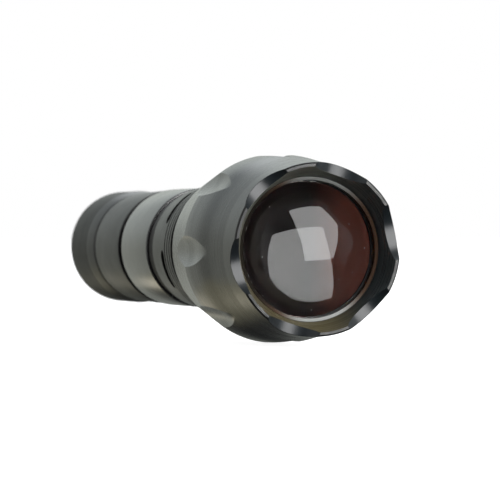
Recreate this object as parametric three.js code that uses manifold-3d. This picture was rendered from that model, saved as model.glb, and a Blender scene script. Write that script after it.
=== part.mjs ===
// Tactical flashlight with a sliding zoom head, built as separate turned, milled and moulded pieces.
// Millimetres. +Z is up and the optical axis is Y: the lens faces -Y and the tail button faces +Y.
// Along the axis every station is a distance behind the front plane of the bezel.
import * as THREE from "three";
import { mergeVertices } from "three/addons/utils/BufferGeometryUtils.js";
import Module from "manifold-3d";

// ---------------------------------------------------------------- driving dimensions
const LENGTH = 155; // front lands of the bezel to the rear face of the tail cap
const HEAD_RADIUS = 20; // widest ring of the head
const BODY_RADIUS = 13.6; // battery tube behind the seal ring
const CLEARANCE = 0.1; // radial play of parts that screw or slip into each other
const RUNNING_GAP = 0.3; // axial play between stacked parts
const SEAT_GAP = 0.1; // axial play of parts held against each other
const SOLDER_GAP = 0.05; // between a soldered part and its board
const OVERRUN = 1; // length by which a cutter passes the solid it cuts

// Stations of the visible sections.
const BEZEL_REAR = 6.8;
const HEAD_FRONT = BEZEL_REAR + SEAT_GAP;
const HEAD_WIDEST_FRONT = 27;
const HEAD_WIDEST_REAR = 30;
const HEAD_REAR = 50.5;
const COLLAR_FRONT = 57.2; // the bare neck shows between the head and the collar
const COLLAR_REAR = 77.4;
const TUBE_FRONT = 83;
const TUBE_GROOVE = 105.2;
const TUBE_REAR = 131.7;
const CAP_FRONT = 132.6;
const CAP_LIP_REAR = 138;
const TUBE_REAR_RADIUS = 13.1;
const CAP_RADIUS = 13.6;

// Bezel and head.
const LAND_OUTER_RADIUS = 17.55;
const LAND_INNER_RADIUS = 16.95;
const LAND_CHAMFER = 0.3;
const MOUTH_RADIUS = 15; // small end of the conical mouth
const MOUTH_DEPTH = 5.4;
const BEZEL_REAR_RADIUS = 18.25;
const BEZEL_SPIGOT_RADIUS = 16.1;
const BEZEL_SPIGOT_REAR = 9;
const SCALLOP_COUNT = 6;
const SCALLOP_DEPTH = 2.9;
const SCALLOP_HALF_CHORD = 5.75;
const SCALLOP_FIRST_ANGLE = 12; // degrees round the axis, anticlockwise from +X as seen from the lens
const PETAL_COUNT = 8;
const PETAL_FIRST_ANGLE = 1.5;
const PETAL_CUTTER_RADIUS = 5.5;
const PETAL_APEX = 16;
const PETAL_FLOOR_AT_APEX = 19.05;
const PETAL_END = 40;
const PETAL_FLOOR_AT_END = 18.3;
const HEAD_SWELL = [
  [14, 18.9],
  [21, 19.7],
]; // stations and radii of the head between the bezel and its widest ring
const HEAD_REAR_RADIUS = 16.8;
const HEAD_REAR_CHAMFER = 0.5;
const HEAD_BORE_RADIUS = 15.2;
const HEAD_LIP_FRONT = 46;
const HEAD_LIP_RADIUS = 13.6;
const HEAD_LIP_GROOVE_FRONT = 47.3;
const HEAD_LIP_GROOVE_REAR = 49.3;
const HEAD_LIP_GROOVE_RADIUS = 15.15;
const ZOOM_O_RING_SECTION = 0.76;
const ZOOM_O_RING_PLAY = 0.09;

// Lens stack, from the mouth backwards.
const LENS_RADIUS = 14.8;
const DOME_BASE_RADIUS = 14;
const DOME_SPHERE_RADIUS = 19.5;
const LENS_RING_FRONT = 5.5;
const LENS_RING_CHAMFER = 0.1;
const LENS_RING_CONE_REAR = 6.6;
const LENS_RING_REAR = 7;
const LENS_RING_RADIUS = 14.2;
const GASKET_THICKNESS = 1;
const LENS_FLANGE_FRONT = LENS_RING_REAR + GASKET_THICKNESS + 2 * SEAT_GAP;
const LENS_FLANGE_THICKNESS = 1.8;
const LENS_BACK = LENS_FLANGE_FRONT + LENS_FLANGE_THICKNESS;
const LENS_SHELF = LENS_BACK + GASKET_THICKNESS + 2 * SEAT_GAP;
const LENS_SHELF_THICKNESS = 1.6;
const LENS_SHELF_REAR = LENS_SHELF + LENS_SHELF_THICKNESS;
const LENS_SHELF_RADIUS = 13.8;
const LENS_POCKET_RADIUS = 15.05;

// Neck, light engine and battery.
const NECK_RADIUS = HEAD_LIP_RADIUS - CLEARANCE;
const NECK_FRONT = 31;
const STOP_RING_FRONT = 31.6;
const STOP_RING_REAR = 33.4;
const STOP_RING_OPENING = 5;
const STOP_RING_RADIUS = 15.05;
const STOP_GROOVE_DEPTH = 0.5;
const COLLAR_FRONT_RADIUS = 15.15;
const COLLAR_REAR_RADIUS = 13.75;
const COLLAR_CHAMFER = 0.4;
const COLLAR_GROOVES = [59, 61.3, 63.7];
const COLLAR_GROOVE_WIDTH = 0.5;
const COLLAR_GROOVE_DEPTH = 0.4;
const SEAL_RING_PLAY = 0.15;
const SEAL_RING_THICKNESS = 0.8;
const SEAL_CHAMFER_LENGTH = 0.4;
const SEAL_CHAMFER_DEPTH = 0.3;
const SLOT_COUNT = 6;
const SLOT_FRONT = 65;
const SLOT_REAR = 68;
const SLOT_FLOOR_RADIUS = 12.6;
const SLOT_ARC = 36; // degrees
const SLOT_FIRST_ANGLE = 20;
const PILL_RADIUS = 12;
const PILL_NOSE_RADIUS = 11.5;
const PILL_FRONT = 29.5;
const PILL_SHOULDER = 31.5;
const PILL_CHAMBER_FRONT = 36;
const PILL_CHAMBER_RADIUS = 10.3;
const PILL_REAR = 58;
const BORE_RADIUS = 10.9; // battery passage
const SPIGOT_RADIUS = 12.2; // threaded ends
const NECK_SPIGOT_REAR = 86.5;
const COVER_FRONT = 28.1;
const COVER_PLATE_REAR = 29.3;
const COVER_REAR = NECK_FRONT - RUNNING_GAP;
const COVER_RADIUS = 12.8;
const COVER_WINDOW_RADIUS = 3.6;
const COVER_CHAMFER = 0.4;
const LED_BOARD_FRONT = 31;
const LED_BOARD_REAR = 32.6;
const LED_BOARD_RADIUS = 8;
const EMITTER_WIDTH = 5;
const EMITTER_THICKNESS = 0.9;
const EMITTER_DOME_RADIUS = 2.2;
const EMITTER_DOME_RISE = 0.25; // centre of the dome in front of the middle of the emitter
const LEAD_HOLE_OFFSET = 6.4;
const LEAD_HOLE_RADIUS = 1.1;
const LEAD_RADIUS = 0.6;
const LEAD_HEIGHT = 0.75; // middle of a lead above the board it lies on
const LEAD_BEND = 0.5;
const LEAD_PAD_GAP = 1.3; // from the emitter to the end of a lead
const LEAD_STEPS = 14;
const LEAD_SIDES = 6;
const DRIVER_FRONT = 56.3;
const DRIVER_REAR = 57.8;
const DRIVER_RADIUS = 10.2;
const CELL_FRONT = 65.6;
const CELL_REAR = 131.6;
const CELL_RADIUS = 9.2;
const CELL_BUTTON_RADIUS = 2.9;
const CELL_SHOULDER = 67.2;
const CELL_TOP_CHAMFER = 0.6;
const CELL_BASE_CHAMFER = 0.5;
const SLEEVE_FRONT = 68;
const SLEEVE_REAR = 130;
const SLEEVE_INNER_RADIUS = 9.35;
const SLEEVE_OUTER_RADIUS = 10.7;

// Battery tube, tail cap and switch.
const TUBE_CHAMFER = 0.3;
const TUBE_GROOVE_WIDTH = 3.3;
const TUBE_GROOVE_DEPTH = 0.9;
const TAIL_GROOVE_FRONT = 134.2;
const TAIL_GROOVE_REAR = 135.3;
const TAIL_GROOVE_RADIUS = 11.4;
const TAIL_O_RING_SECTION = 0.42;
const TAIL_O_RING_PLAY = 0.02;
const CAP_SPIGOT_REAR = 140.5;
const CAP_STEP = 141;
const CAP_CHAMBER_RADIUS = 10.2;
const CAP_WALL_FRONT = 152.3;
const CAP_REAR_CURVE = [
  [LENGTH - 3, 13.55],
  [LENGTH - 0.9, 13],
  [LENGTH, 11.9],
]; // stations and radii of the rounded rear rim
const BUTTON_HOLE_RADIUS = 6.9;
const BUTTON_HOLE_CHAMFER = 0.6;
const SWITCH_RING_FRONT = 143.4;
const SWITCH_RING_BORE_RADIUS = 8;
const SPANNER_NOTCH = 1.6;
const SWITCH_BOARD_FRONT = 145.2;
const SWITCH_BOARD_REAR = 146.4;
const SWITCH_HOUSING_REAR = 150.6;
const SWITCH_HOUSING_RADIUS = 6.4;
const SWITCH_WELL_FRONT = 147.2;
const SWITCH_WELL_RADIUS = 2.6;
const SWITCH_SPRING_FRONT = SWITCH_WELL_FRONT + SEAT_GAP;
const SWITCH_SPRING_REAR = 149.4;
const PLUNGER_FRONT = SWITCH_SPRING_REAR + SEAT_GAP;
const PLUNGER_HEAD_FRONT = 152.4;
const PLUNGER_REAR = 153.2;
const PLUNGER_HEAD_RADIUS = 3.4;
const BOOT_PLAY = 0.15;
const BOOT_CEILING = [
  [153.4, 0],
  [153.4, 4.2],
  [152.6, 5.5],
]; // inner dome of the boot, from the axis outwards
const BOOT_DOME = [
  [153.3, BUTTON_HOLE_RADIUS - BOOT_PLAY],
  [154.2, 5.6],
  [154.6, 3.4],
  [154.6, 0],
]; // outer dome of the boot, back to the axis

// Springs. Each is a coil of round wire that may taper from one end to the other.
const DRIVER_SPRING = { frontRadius: 4, rearRadius: 2.6, wireRadius: 0.4, turns: 4 };
const TAIL_SPRING = { frontRadius: 3.4, rearRadius: 5.6, wireRadius: 0.5, turns: 5 };
const SWITCH_SPRING = { frontRadius: 1.6, rearRadius: 1.6, wireRadius: 0.2, turns: 3 };
const STEPS_PER_TURN = 12;
const WIRE_SIDES = 5;

const ROUND = 48; // facets round the head and the neck it slides on
const TURNED = 32; // facets round the body
const SMALL = 20; // facets round small internal parts

// ---------------------------------------------------------------- solid helpers
const wasm = await Module();
wasm.setup();

function toSolid(geometry) {
  const bare = geometry.clone();
  bare.deleteAttribute("normal");
  bare.deleteAttribute("uv");
  const merged = mergeVertices(bare, 1e-4);
  return new wasm.Manifold(
    new wasm.Mesh({
      numProp: 3,
      vertProperties: merged.getAttribute("position").array,
      triVerts: new Uint32Array(merged.index.array),
    }),
  );
}

function toGeometry(solid) {
  const mesh = solid.getMesh();
  const geometry = new THREE.BufferGeometry();
  geometry.setAttribute("position", new THREE.BufferAttribute(mesh.vertProperties, 3));
  geometry.setIndex(new THREE.BufferAttribute(mesh.triVerts, 1));
  geometry.computeVertexNormals();
  return geometry;
}

function cut(geometry, cutters) {
  let solid = toSolid(geometry);
  for (const cutter of cutters) {
    solid = solid.subtract(toSolid(cutter));
  }
  return toGeometry(solid);
}

function join(geometries) {
  let solid = toSolid(geometries[0]);
  for (const geometry of geometries.slice(1)) {
    solid = solid.add(toSolid(geometry));
  }
  return toGeometry(solid);
}

// Distance behind the front plane to Y in the part's frame.
function axial(station) {
  return station - LENGTH / 2;
}

// Turns an outline of [station, radius] points round the optical axis. The outline closes on itself,
// unless it starts and ends on the axis.
function turn(outline, facets = TURNED) {
  const points = outline.map(([station, radius]) => new THREE.Vector2(radius, axial(station)));
  const onAxis = outline[0][1] === 0 && outline[outline.length - 1][1] === 0;
  if (!onAxis) {
    points.push(points[0].clone());
  }
  const area = THREE.ShapeUtils.area(points);
  if (area < 0) {
    points.reverse();
  }
  return new THREE.LatheGeometry(points, facets);
}

function ringBand(front, rear, inner, outer, facets = TURNED) {
  return turn([[front, inner], [front, outer], [rear, outer], [rear, inner]], facets);
}

function disc(front, rear, radius, facets = TURNED) {
  return turn([[front, 0], [front, radius], [rear, radius], [rear, 0]], facets);
}

// Points on an arc in the [station, radius] plane, angles in degrees from the +station direction.
function arc(station, radius, size, from, to, steps) {
  const points = [];
  for (let i = 0; i <= steps; i += 1) {
    const angle = THREE.MathUtils.degToRad(from + ((to - from) * i) / steps);
    points.push([station + size * Math.cos(angle), radius + size * Math.sin(angle)]);
  }
  return points;
}

function oRing(station, radius, section, facets = TURNED) {
  const sides = 6;
  const outline = arc(station, radius, section, 0, 360 - 360 / sides, sides - 1);
  return turn(outline, facets);
}

// Turns geometry round the optical axis by an angle in degrees, anticlockwise as seen from the lens.
function spin(geometry, degrees) {
  return geometry.rotateY(-THREE.MathUtils.degToRad(degrees));
}

function sweep(path, wireRadius, steps, sides) {
  const shape = new THREE.Shape();
  for (let i = 0; i < sides; i += 1) {
    const angle = (2 * Math.PI * i) / sides;
    const x = wireRadius * Math.cos(angle);
    const y = wireRadius * Math.sin(angle);
    if (i === 0) {
      shape.moveTo(x, y);
    } else {
      shape.lineTo(x, y);
    }
  }
  shape.closePath();
  return new THREE.ExtrudeGeometry(shape, { steps, bevelEnabled: false, extrudePath: path });
}

class Helix extends THREE.Curve {
  constructor(front, rear, spring) {
    super();
    Object.assign(this, { front, rear, spring });
  }

  getPoint(t, target = new THREE.Vector3()) {
    const radius = THREE.MathUtils.lerp(this.spring.frontRadius, this.spring.rearRadius, t);
    const angle = 2 * Math.PI * this.spring.turns * t;
    const y = axial(THREE.MathUtils.lerp(this.front, this.rear, t));
    return target.set(radius * Math.cos(angle), y, radius * Math.sin(angle));
  }
}

function coil(front, rear, spring) {
  const path = new Helix(front + spring.wireRadius, rear - spring.wireRadius, spring);
  return sweep(path, spring.wireRadius, spring.turns * STEPS_PER_TURN, WIRE_SIDES);
}

// ---------------------------------------------------------------- bezel and head
function bezelRing() {
  const blank = turn(
    [
      [0, LAND_INNER_RADIUS],
      [0, LAND_OUTER_RADIUS],
      [LAND_CHAMFER, LAND_OUTER_RADIUS + LAND_CHAMFER],
      [BEZEL_REAR, BEZEL_REAR_RADIUS],
      [BEZEL_REAR, BEZEL_SPIGOT_RADIUS],
      [BEZEL_SPIGOT_REAR, BEZEL_SPIGOT_RADIUS],
      [BEZEL_SPIGOT_REAR, MOUTH_RADIUS],
      [MOUTH_DEPTH, MOUTH_RADIUS],
    ],
    ROUND,
  );
  const radius = (SCALLOP_HALF_CHORD ** 2 + SCALLOP_DEPTH ** 2) / (2 * SCALLOP_DEPTH);
  const cutters = [];
  for (let i = 0; i < SCALLOP_COUNT; i += 1) {
    const mill = new THREE.CylinderGeometry(radius, radius, HEAD_RADIUS, ROUND);
    mill.rotateZ(Math.PI / 2);
    mill.translate(HEAD_RADIUS, axial(SCALLOP_DEPTH - radius), 0);
    cutters.push(spin(mill, SCALLOP_FIRST_ANGLE + (360 * i) / SCALLOP_COUNT));
  }
  return cut(blank, cutters);
}

function petalCutters() {
  const reach = PETAL_END - PETAL_APEX;
  const slope = (PETAL_FLOOR_AT_APEX - PETAL_FLOOR_AT_END) / reach;
  const middle = (PETAL_APEX + PETAL_END) / 2;
  const floor = (PETAL_FLOOR_AT_APEX + PETAL_FLOOR_AT_END) / 2;
  const cutters = [];
  for (let i = 0; i < PETAL_COUNT; i += 1) {
    const mill = new THREE.CylinderGeometry(PETAL_CUTTER_RADIUS, PETAL_CUTTER_RADIUS, 3 * reach, TURNED);
    mill.rotateZ(Math.atan(slope));
    mill.translate(floor + PETAL_CUTTER_RADIUS, axial(middle), 0);
    cutters.push(spin(mill, PETAL_FIRST_ANGLE + (360 * i) / PETAL_COUNT));
  }
  return cutters;
}

function headShell() {
  const blank = turn(
    [
      [HEAD_FRONT, BEZEL_SPIGOT_RADIUS + CLEARANCE],
      [HEAD_FRONT, BEZEL_REAR_RADIUS + CLEARANCE],
      ...HEAD_SWELL,
      [HEAD_WIDEST_FRONT, HEAD_RADIUS],
      [HEAD_WIDEST_REAR, HEAD_RADIUS],
      [HEAD_REAR - HEAD_REAR_CHAMFER, HEAD_REAR_RADIUS],
      [HEAD_REAR, HEAD_REAR_RADIUS - HEAD_REAR_CHAMFER],
      [HEAD_REAR, HEAD_LIP_RADIUS],
      [HEAD_LIP_GROOVE_REAR, HEAD_LIP_RADIUS],
      [HEAD_LIP_GROOVE_REAR, HEAD_LIP_GROOVE_RADIUS],
      [HEAD_LIP_GROOVE_FRONT, HEAD_LIP_GROOVE_RADIUS],
      [HEAD_LIP_GROOVE_FRONT, HEAD_LIP_RADIUS],
      [HEAD_LIP_FRONT, HEAD_LIP_RADIUS],
      [HEAD_LIP_FRONT, HEAD_BORE_RADIUS],
      [LENS_SHELF_REAR, HEAD_BORE_RADIUS],
      [LENS_SHELF_REAR, LENS_SHELF_RADIUS],
      [LENS_SHELF, LENS_SHELF_RADIUS],
      [LENS_SHELF, LENS_POCKET_RADIUS],
      [BEZEL_SPIGOT_REAR + SEAT_GAP, LENS_POCKET_RADIUS],
      [BEZEL_SPIGOT_REAR + SEAT_GAP, BEZEL_SPIGOT_RADIUS + CLEARANCE],
    ],
    ROUND,
  );
  return cut(blank, petalCutters());
}

function lens() {
  const steps = 7;
  const centre = LENS_FLANGE_FRONT + Math.sqrt(DOME_SPHERE_RADIUS ** 2 - DOME_BASE_RADIUS ** 2);
  const half = THREE.MathUtils.radToDeg(Math.asin(DOME_BASE_RADIUS / DOME_SPHERE_RADIUS));
  const dome = arc(centre, 0, DOME_SPHERE_RADIUS, 180, 180 - half, steps);
  dome[0][1] = 0;
  return turn(
    [
      ...dome,
      [LENS_FLANGE_FRONT, LENS_RADIUS],
      [LENS_BACK, LENS_RADIUS],
      [LENS_BACK, 0],
    ],
    TURNED,
  );
}

function lensRetainingRing() {
  const outer = MOUTH_RADIUS - CLEARANCE;
  return turn([
    [LENS_RING_FRONT, outer - LENS_RING_CHAMFER],
    [LENS_RING_FRONT + LENS_RING_CHAMFER, outer],
    [LENS_RING_REAR, outer],
    [LENS_RING_REAR, LENS_RING_RADIUS],
    [LENS_RING_CONE_REAR, LENS_RING_RADIUS],
  ]);
}

function lensGasket(front) {
  return ringBand(front, front + GASKET_THICKNESS, DOME_BASE_RADIUS + CLEARANCE, LENS_RADIUS);
}

// ---------------------------------------------------------------- neck and zoom fit
function zoomORing() {
  const station = (HEAD_LIP_GROOVE_FRONT + HEAD_LIP_GROOVE_REAR) / 2;
  const radius = NECK_RADIUS + ZOOM_O_RING_PLAY + ZOOM_O_RING_SECTION;
  return oRing(station, radius, ZOOM_O_RING_SECTION, ROUND);
}

function headStopRing() {
  const inner = NECK_RADIUS - STOP_GROOVE_DEPTH + CLEARANCE;
  const ring = ringBand(STOP_RING_FRONT, STOP_RING_REAR, inner, STOP_RING_RADIUS);
  const reach = 2 * (STOP_RING_REAR - STOP_RING_FRONT);
  const opening = new THREE.BoxGeometry(STOP_RING_OPENING, reach, reach);
  opening.translate(0, axial((STOP_RING_FRONT + STOP_RING_REAR) / 2), NECK_RADIUS + OVERRUN);
  return cut(ring, [opening]);
}

// Radius of the tapering collar at a station.
function collarRadius(station) {
  const t = (station - COLLAR_FRONT) / (COLLAR_REAR - COLLAR_FRONT);
  return THREE.MathUtils.lerp(COLLAR_FRONT_RADIUS, COLLAR_REAR_RADIUS, t);
}

function slotCutters() {
  const cutters = [];
  const half = THREE.MathUtils.degToRad(SLOT_ARC / 2);
  const shape = new THREE.Shape();
  shape.absarc(0, 0, COLLAR_FRONT_RADIUS + OVERRUN, -half, half, false);
  shape.absarc(0, 0, SLOT_FLOOR_RADIUS, half, -half, true);
  shape.closePath();
  const settings = { depth: SLOT_REAR - SLOT_FRONT, bevelEnabled: false, curveSegments: 6 };
  for (let i = 0; i < SLOT_COUNT; i += 1) {
    const block = new THREE.ExtrudeGeometry(shape, settings);
    block.rotateX(-Math.PI / 2);
    block.translate(0, axial(SLOT_FRONT), 0);
    cutters.push(spin(block, SLOT_FIRST_ANGLE + (360 * i) / SLOT_COUNT));
  }
  return cutters;
}

function neckHousing() {
  const stopFloor = NECK_RADIUS - STOP_GROOVE_DEPTH;
  const outline = [
    [NECK_FRONT, PILL_RADIUS + CLEARANCE],
    [NECK_FRONT, NECK_RADIUS],
    [STOP_RING_FRONT - SEAT_GAP, NECK_RADIUS],
    [STOP_RING_FRONT - SEAT_GAP, stopFloor],
    [STOP_RING_REAR + SEAT_GAP, stopFloor],
    [STOP_RING_REAR + SEAT_GAP, NECK_RADIUS],
    [COLLAR_FRONT, NECK_RADIUS],
    [COLLAR_FRONT, COLLAR_FRONT_RADIUS],
  ];
  for (const station of COLLAR_GROOVES) {
    const front = station - COLLAR_GROOVE_WIDTH / 2;
    const rear = station + COLLAR_GROOVE_WIDTH / 2;
    outline.push([front, collarRadius(front)], [front, collarRadius(front) - COLLAR_GROOVE_DEPTH]);
    outline.push([rear, collarRadius(rear) - COLLAR_GROOVE_DEPTH], [rear, collarRadius(rear)]);
  }
  outline.push(
    [COLLAR_REAR - COLLAR_CHAMFER, collarRadius(COLLAR_REAR - COLLAR_CHAMFER)],
    [COLLAR_REAR, COLLAR_REAR_RADIUS - COLLAR_CHAMFER],
    [COLLAR_REAR, SPIGOT_RADIUS],
    [NECK_SPIGOT_REAR, SPIGOT_RADIUS],
    [NECK_SPIGOT_REAR, BORE_RADIUS],
    [PILL_REAR + RUNNING_GAP, BORE_RADIUS],
    [PILL_REAR + RUNNING_GAP, PILL_RADIUS + CLEARANCE],
  );
  return cut(turn(outline, ROUND), slotCutters());
}

function neckSealRing() {
  const front = COLLAR_REAR + SEAL_RING_PLAY;
  const rear = TUBE_FRONT - SEAL_RING_PLAY;
  const inner = SPIGOT_RADIUS + CLEARANCE;
  const outer = inner + SEAL_RING_THICKNESS;
  return turn([
    [front, inner],
    [front, outer - SEAL_CHAMFER_DEPTH],
    [front + SEAL_CHAMFER_LENGTH, outer],
    [rear - SEAL_CHAMFER_LENGTH, outer],
    [rear, outer - SEAL_CHAMFER_DEPTH],
    [rear, inner],
  ]);
}

// ---------------------------------------------------------------- light engine
function leadHoles(front, rear) {
  const holes = [];
  for (const side of [-1, 1]) {
    const hole = new THREE.CylinderGeometry(LEAD_HOLE_RADIUS, LEAD_HOLE_RADIUS, rear - front, SMALL);
    hole.translate(side * LEAD_HOLE_OFFSET, axial((front + rear) / 2), 0);
    holes.push(hole);
  }
  return holes;
}

function ledPill() {
  const pocketFloor = LED_BOARD_REAR + SEAT_GAP;
  const blank = turn([
    [pocketFloor, 0],
    [pocketFloor, LED_BOARD_RADIUS + CLEARANCE],
    [PILL_FRONT, LED_BOARD_RADIUS + CLEARANCE],
    [PILL_FRONT, PILL_NOSE_RADIUS],
    [NECK_FRONT, PILL_NOSE_RADIUS],
    [PILL_SHOULDER, PILL_RADIUS],
    [PILL_REAR, PILL_RADIUS],
    [PILL_REAR, PILL_CHAMBER_RADIUS],
    [PILL_CHAMBER_FRONT, PILL_CHAMBER_RADIUS],
    [PILL_CHAMBER_FRONT, 0],
  ]);
  return cut(blank, leadHoles(pocketFloor - OVERRUN, PILL_CHAMBER_FRONT + OVERRUN));
}

function ledCover() {
  const skirt = PILL_NOSE_RADIUS + CLEARANCE;
  return turn([
    [COVER_FRONT, COVER_WINDOW_RADIUS + 2 * COVER_CHAMFER],
    [COVER_FRONT, COVER_RADIUS - COVER_CHAMFER],
    [COVER_FRONT + COVER_CHAMFER, COVER_RADIUS],
    [COVER_REAR, COVER_RADIUS],
    [COVER_REAR, skirt],
    [COVER_PLATE_REAR, skirt],
    [COVER_PLATE_REAR, COVER_WINDOW_RADIUS],
  ]);
}

function ledBoard() {
  const board = disc(LED_BOARD_FRONT, LED_BOARD_REAR, LED_BOARD_RADIUS);
  return cut(board, leadHoles(LED_BOARD_FRONT - OVERRUN, LED_BOARD_REAR + OVERRUN));
}

function ledEmitter() {
  const foot = LED_BOARD_FRONT - SOLDER_GAP;
  const middle = foot - EMITTER_THICKNESS / 2;
  const base = new THREE.BoxGeometry(EMITTER_WIDTH, EMITTER_THICKNESS, EMITTER_WIDTH);
  base.translate(0, axial(middle), 0);
  const dome = arc(middle - EMITTER_DOME_RISE, 0, EMITTER_DOME_RADIUS, 180, 90, 5);
  dome[0][1] = 0;
  const cap = turn([...dome, [middle, EMITTER_DOME_RADIUS], [middle, 0]], SMALL);
  return join([base, cap]);
}

// A lead runs from the driver through the pill, turns inwards over the board and ends on its pad.
function ledLead(side) {
  const lying = LED_BOARD_FRONT - LEAD_HEIGHT;
  const path = new THREE.CatmullRomCurve3([
    new THREE.Vector3(side * LEAD_HOLE_OFFSET, axial(DRIVER_FRONT - SOLDER_GAP), 0),
    new THREE.Vector3(side * LEAD_HOLE_OFFSET, axial((DRIVER_FRONT + PILL_CHAMBER_FRONT) / 2), 0),
    new THREE.Vector3(side * LEAD_HOLE_OFFSET, axial(LED_BOARD_FRONT + LEAD_HEIGHT), 0),
    new THREE.Vector3(side * (LEAD_HOLE_OFFSET - LEAD_BEND), axial(lying), 0),
    new THREE.Vector3(side * (EMITTER_WIDTH / 2 + LEAD_PAD_GAP), axial(lying), 0),
  ]);
  return sweep(path, LEAD_RADIUS, LEAD_STEPS, LEAD_SIDES);
}

function driverBoard() {
  return disc(DRIVER_FRONT, DRIVER_REAR, DRIVER_RADIUS);
}

function driverSpring() {
  return coil(DRIVER_REAR + SEAT_GAP, CELL_FRONT - SEAT_GAP, DRIVER_SPRING);
}

// ---------------------------------------------------------------- battery tube
function batteryTube() {
  const grooveFloor = BODY_RADIUS - TUBE_GROOVE_DEPTH;
  const grooveRear = TUBE_GROOVE + TUBE_GROOVE_WIDTH;
  return turn([
    [TUBE_FRONT, SPIGOT_RADIUS + CLEARANCE],
    [TUBE_FRONT, BODY_RADIUS - TUBE_CHAMFER],
    [TUBE_FRONT + TUBE_CHAMFER, BODY_RADIUS],
    [TUBE_GROOVE - TUBE_CHAMFER, BODY_RADIUS],
    [TUBE_GROOVE, BODY_RADIUS - TUBE_CHAMFER],
    [TUBE_GROOVE, grooveFloor],
    [grooveRear, grooveFloor],
    [grooveRear, BODY_RADIUS - TUBE_CHAMFER / 2],
    [TUBE_REAR - TUBE_CHAMFER, TUBE_REAR_RADIUS],
    [TUBE_REAR, TUBE_REAR_RADIUS - TUBE_CHAMFER],
    [TUBE_REAR, SPIGOT_RADIUS],
    [TAIL_GROOVE_FRONT, SPIGOT_RADIUS],
    [TAIL_GROOVE_FRONT, TAIL_GROOVE_RADIUS],
    [TAIL_GROOVE_REAR, TAIL_GROOVE_RADIUS],
    [TAIL_GROOVE_REAR, SPIGOT_RADIUS],
    [CAP_SPIGOT_REAR, SPIGOT_RADIUS],
    [CAP_SPIGOT_REAR, BORE_RADIUS],
    [NECK_SPIGOT_REAR + 0.3, BORE_RADIUS],
    [NECK_SPIGOT_REAR + 0.3, SPIGOT_RADIUS + CLEARANCE],
  ]);
}

function tailORing() {
  const station = (TAIL_GROOVE_FRONT + TAIL_GROOVE_REAR) / 2;
  const radius = TAIL_GROOVE_RADIUS + TAIL_O_RING_PLAY + TAIL_O_RING_SECTION;
  return oRing(station, radius, TAIL_O_RING_SECTION);
}

function batterySleeve() {
  return ringBand(SLEEVE_FRONT, SLEEVE_REAR, SLEEVE_INNER_RADIUS, SLEEVE_OUTER_RADIUS);
}

function batteryCell() {
  return turn([
    [CELL_FRONT, 0],
    [CELL_FRONT, CELL_BUTTON_RADIUS],
    [CELL_SHOULDER, CELL_BUTTON_RADIUS],
    [CELL_SHOULDER, CELL_RADIUS - CELL_TOP_CHAMFER],
    [CELL_SHOULDER + CELL_TOP_CHAMFER, CELL_RADIUS],
    [CELL_REAR - CELL_BASE_CHAMFER, CELL_RADIUS],
    [CELL_REAR, CELL_RADIUS - CELL_BASE_CHAMFER],
    [CELL_REAR, 0],
  ]);
}

// ---------------------------------------------------------------- tail cap and switch
function tailCap() {
  return turn([
    [CAP_FRONT, SPIGOT_RADIUS + CLEARANCE],
    [CAP_FRONT, TUBE_REAR_RADIUS - TUBE_CHAMFER],
    [CAP_FRONT + TUBE_CHAMFER, TUBE_REAR_RADIUS],
    [CAP_LIP_REAR, CAP_RADIUS],
    ...CAP_REAR_CURVE,
    [LENGTH, BUTTON_HOLE_RADIUS + BUTTON_HOLE_CHAMFER],
    [LENGTH - BUTTON_HOLE_CHAMFER, BUTTON_HOLE_RADIUS],
    [CAP_WALL_FRONT, BUTTON_HOLE_RADIUS],
    [CAP_WALL_FRONT, CAP_CHAMBER_RADIUS],
    [CAP_STEP, CAP_CHAMBER_RADIUS],
    [CAP_STEP, SPIGOT_RADIUS + CLEARANCE],
  ]);
}

function tailSpring() {
  return coil(CELL_REAR + SEAT_GAP, SWITCH_BOARD_FRONT - SEAT_GAP, TAIL_SPRING);
}

function switchRetainingRing() {
  const outer = CAP_CHAMBER_RADIUS - CLEARANCE;
  const rear = SWITCH_BOARD_FRONT - SEAT_GAP;
  const ring = ringBand(SWITCH_RING_FRONT, rear, SWITCH_RING_BORE_RADIUS, outer);
  const notch = new THREE.BoxGeometry(SPANNER_NOTCH, SPANNER_NOTCH, 3 * outer);
  notch.translate(0, axial(SWITCH_RING_FRONT), 0);
  return cut(ring, [notch]);
}

function switchBoard() {
  return disc(SWITCH_BOARD_FRONT, SWITCH_BOARD_REAR, CAP_CHAMBER_RADIUS - CLEARANCE);
}

function switchHousing() {
  return turn(
    [
      [SWITCH_BOARD_REAR + SEAT_GAP, 0],
      [SWITCH_BOARD_REAR + SEAT_GAP, SWITCH_HOUSING_RADIUS],
      [SWITCH_HOUSING_REAR, SWITCH_HOUSING_RADIUS],
      [SWITCH_HOUSING_REAR, SWITCH_WELL_RADIUS],
      [SWITCH_WELL_FRONT, SWITCH_WELL_RADIUS],
      [SWITCH_WELL_FRONT, 0],
    ],
    SMALL,
  );
}

function switchSpring() {
  return coil(SWITCH_SPRING_FRONT, SWITCH_SPRING_REAR, SWITCH_SPRING);
}

function switchPlunger() {
  const stem = SWITCH_WELL_RADIUS - CLEARANCE;
  return turn(
    [
      [PLUNGER_FRONT, 0],
      [PLUNGER_FRONT, stem],
      [PLUNGER_HEAD_FRONT, stem],
      [PLUNGER_HEAD_FRONT, PLUNGER_HEAD_RADIUS],
      [PLUNGER_REAR, PLUNGER_HEAD_RADIUS],
      [PLUNGER_REAR, 0],
    ],
    SMALL,
  );
}

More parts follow.
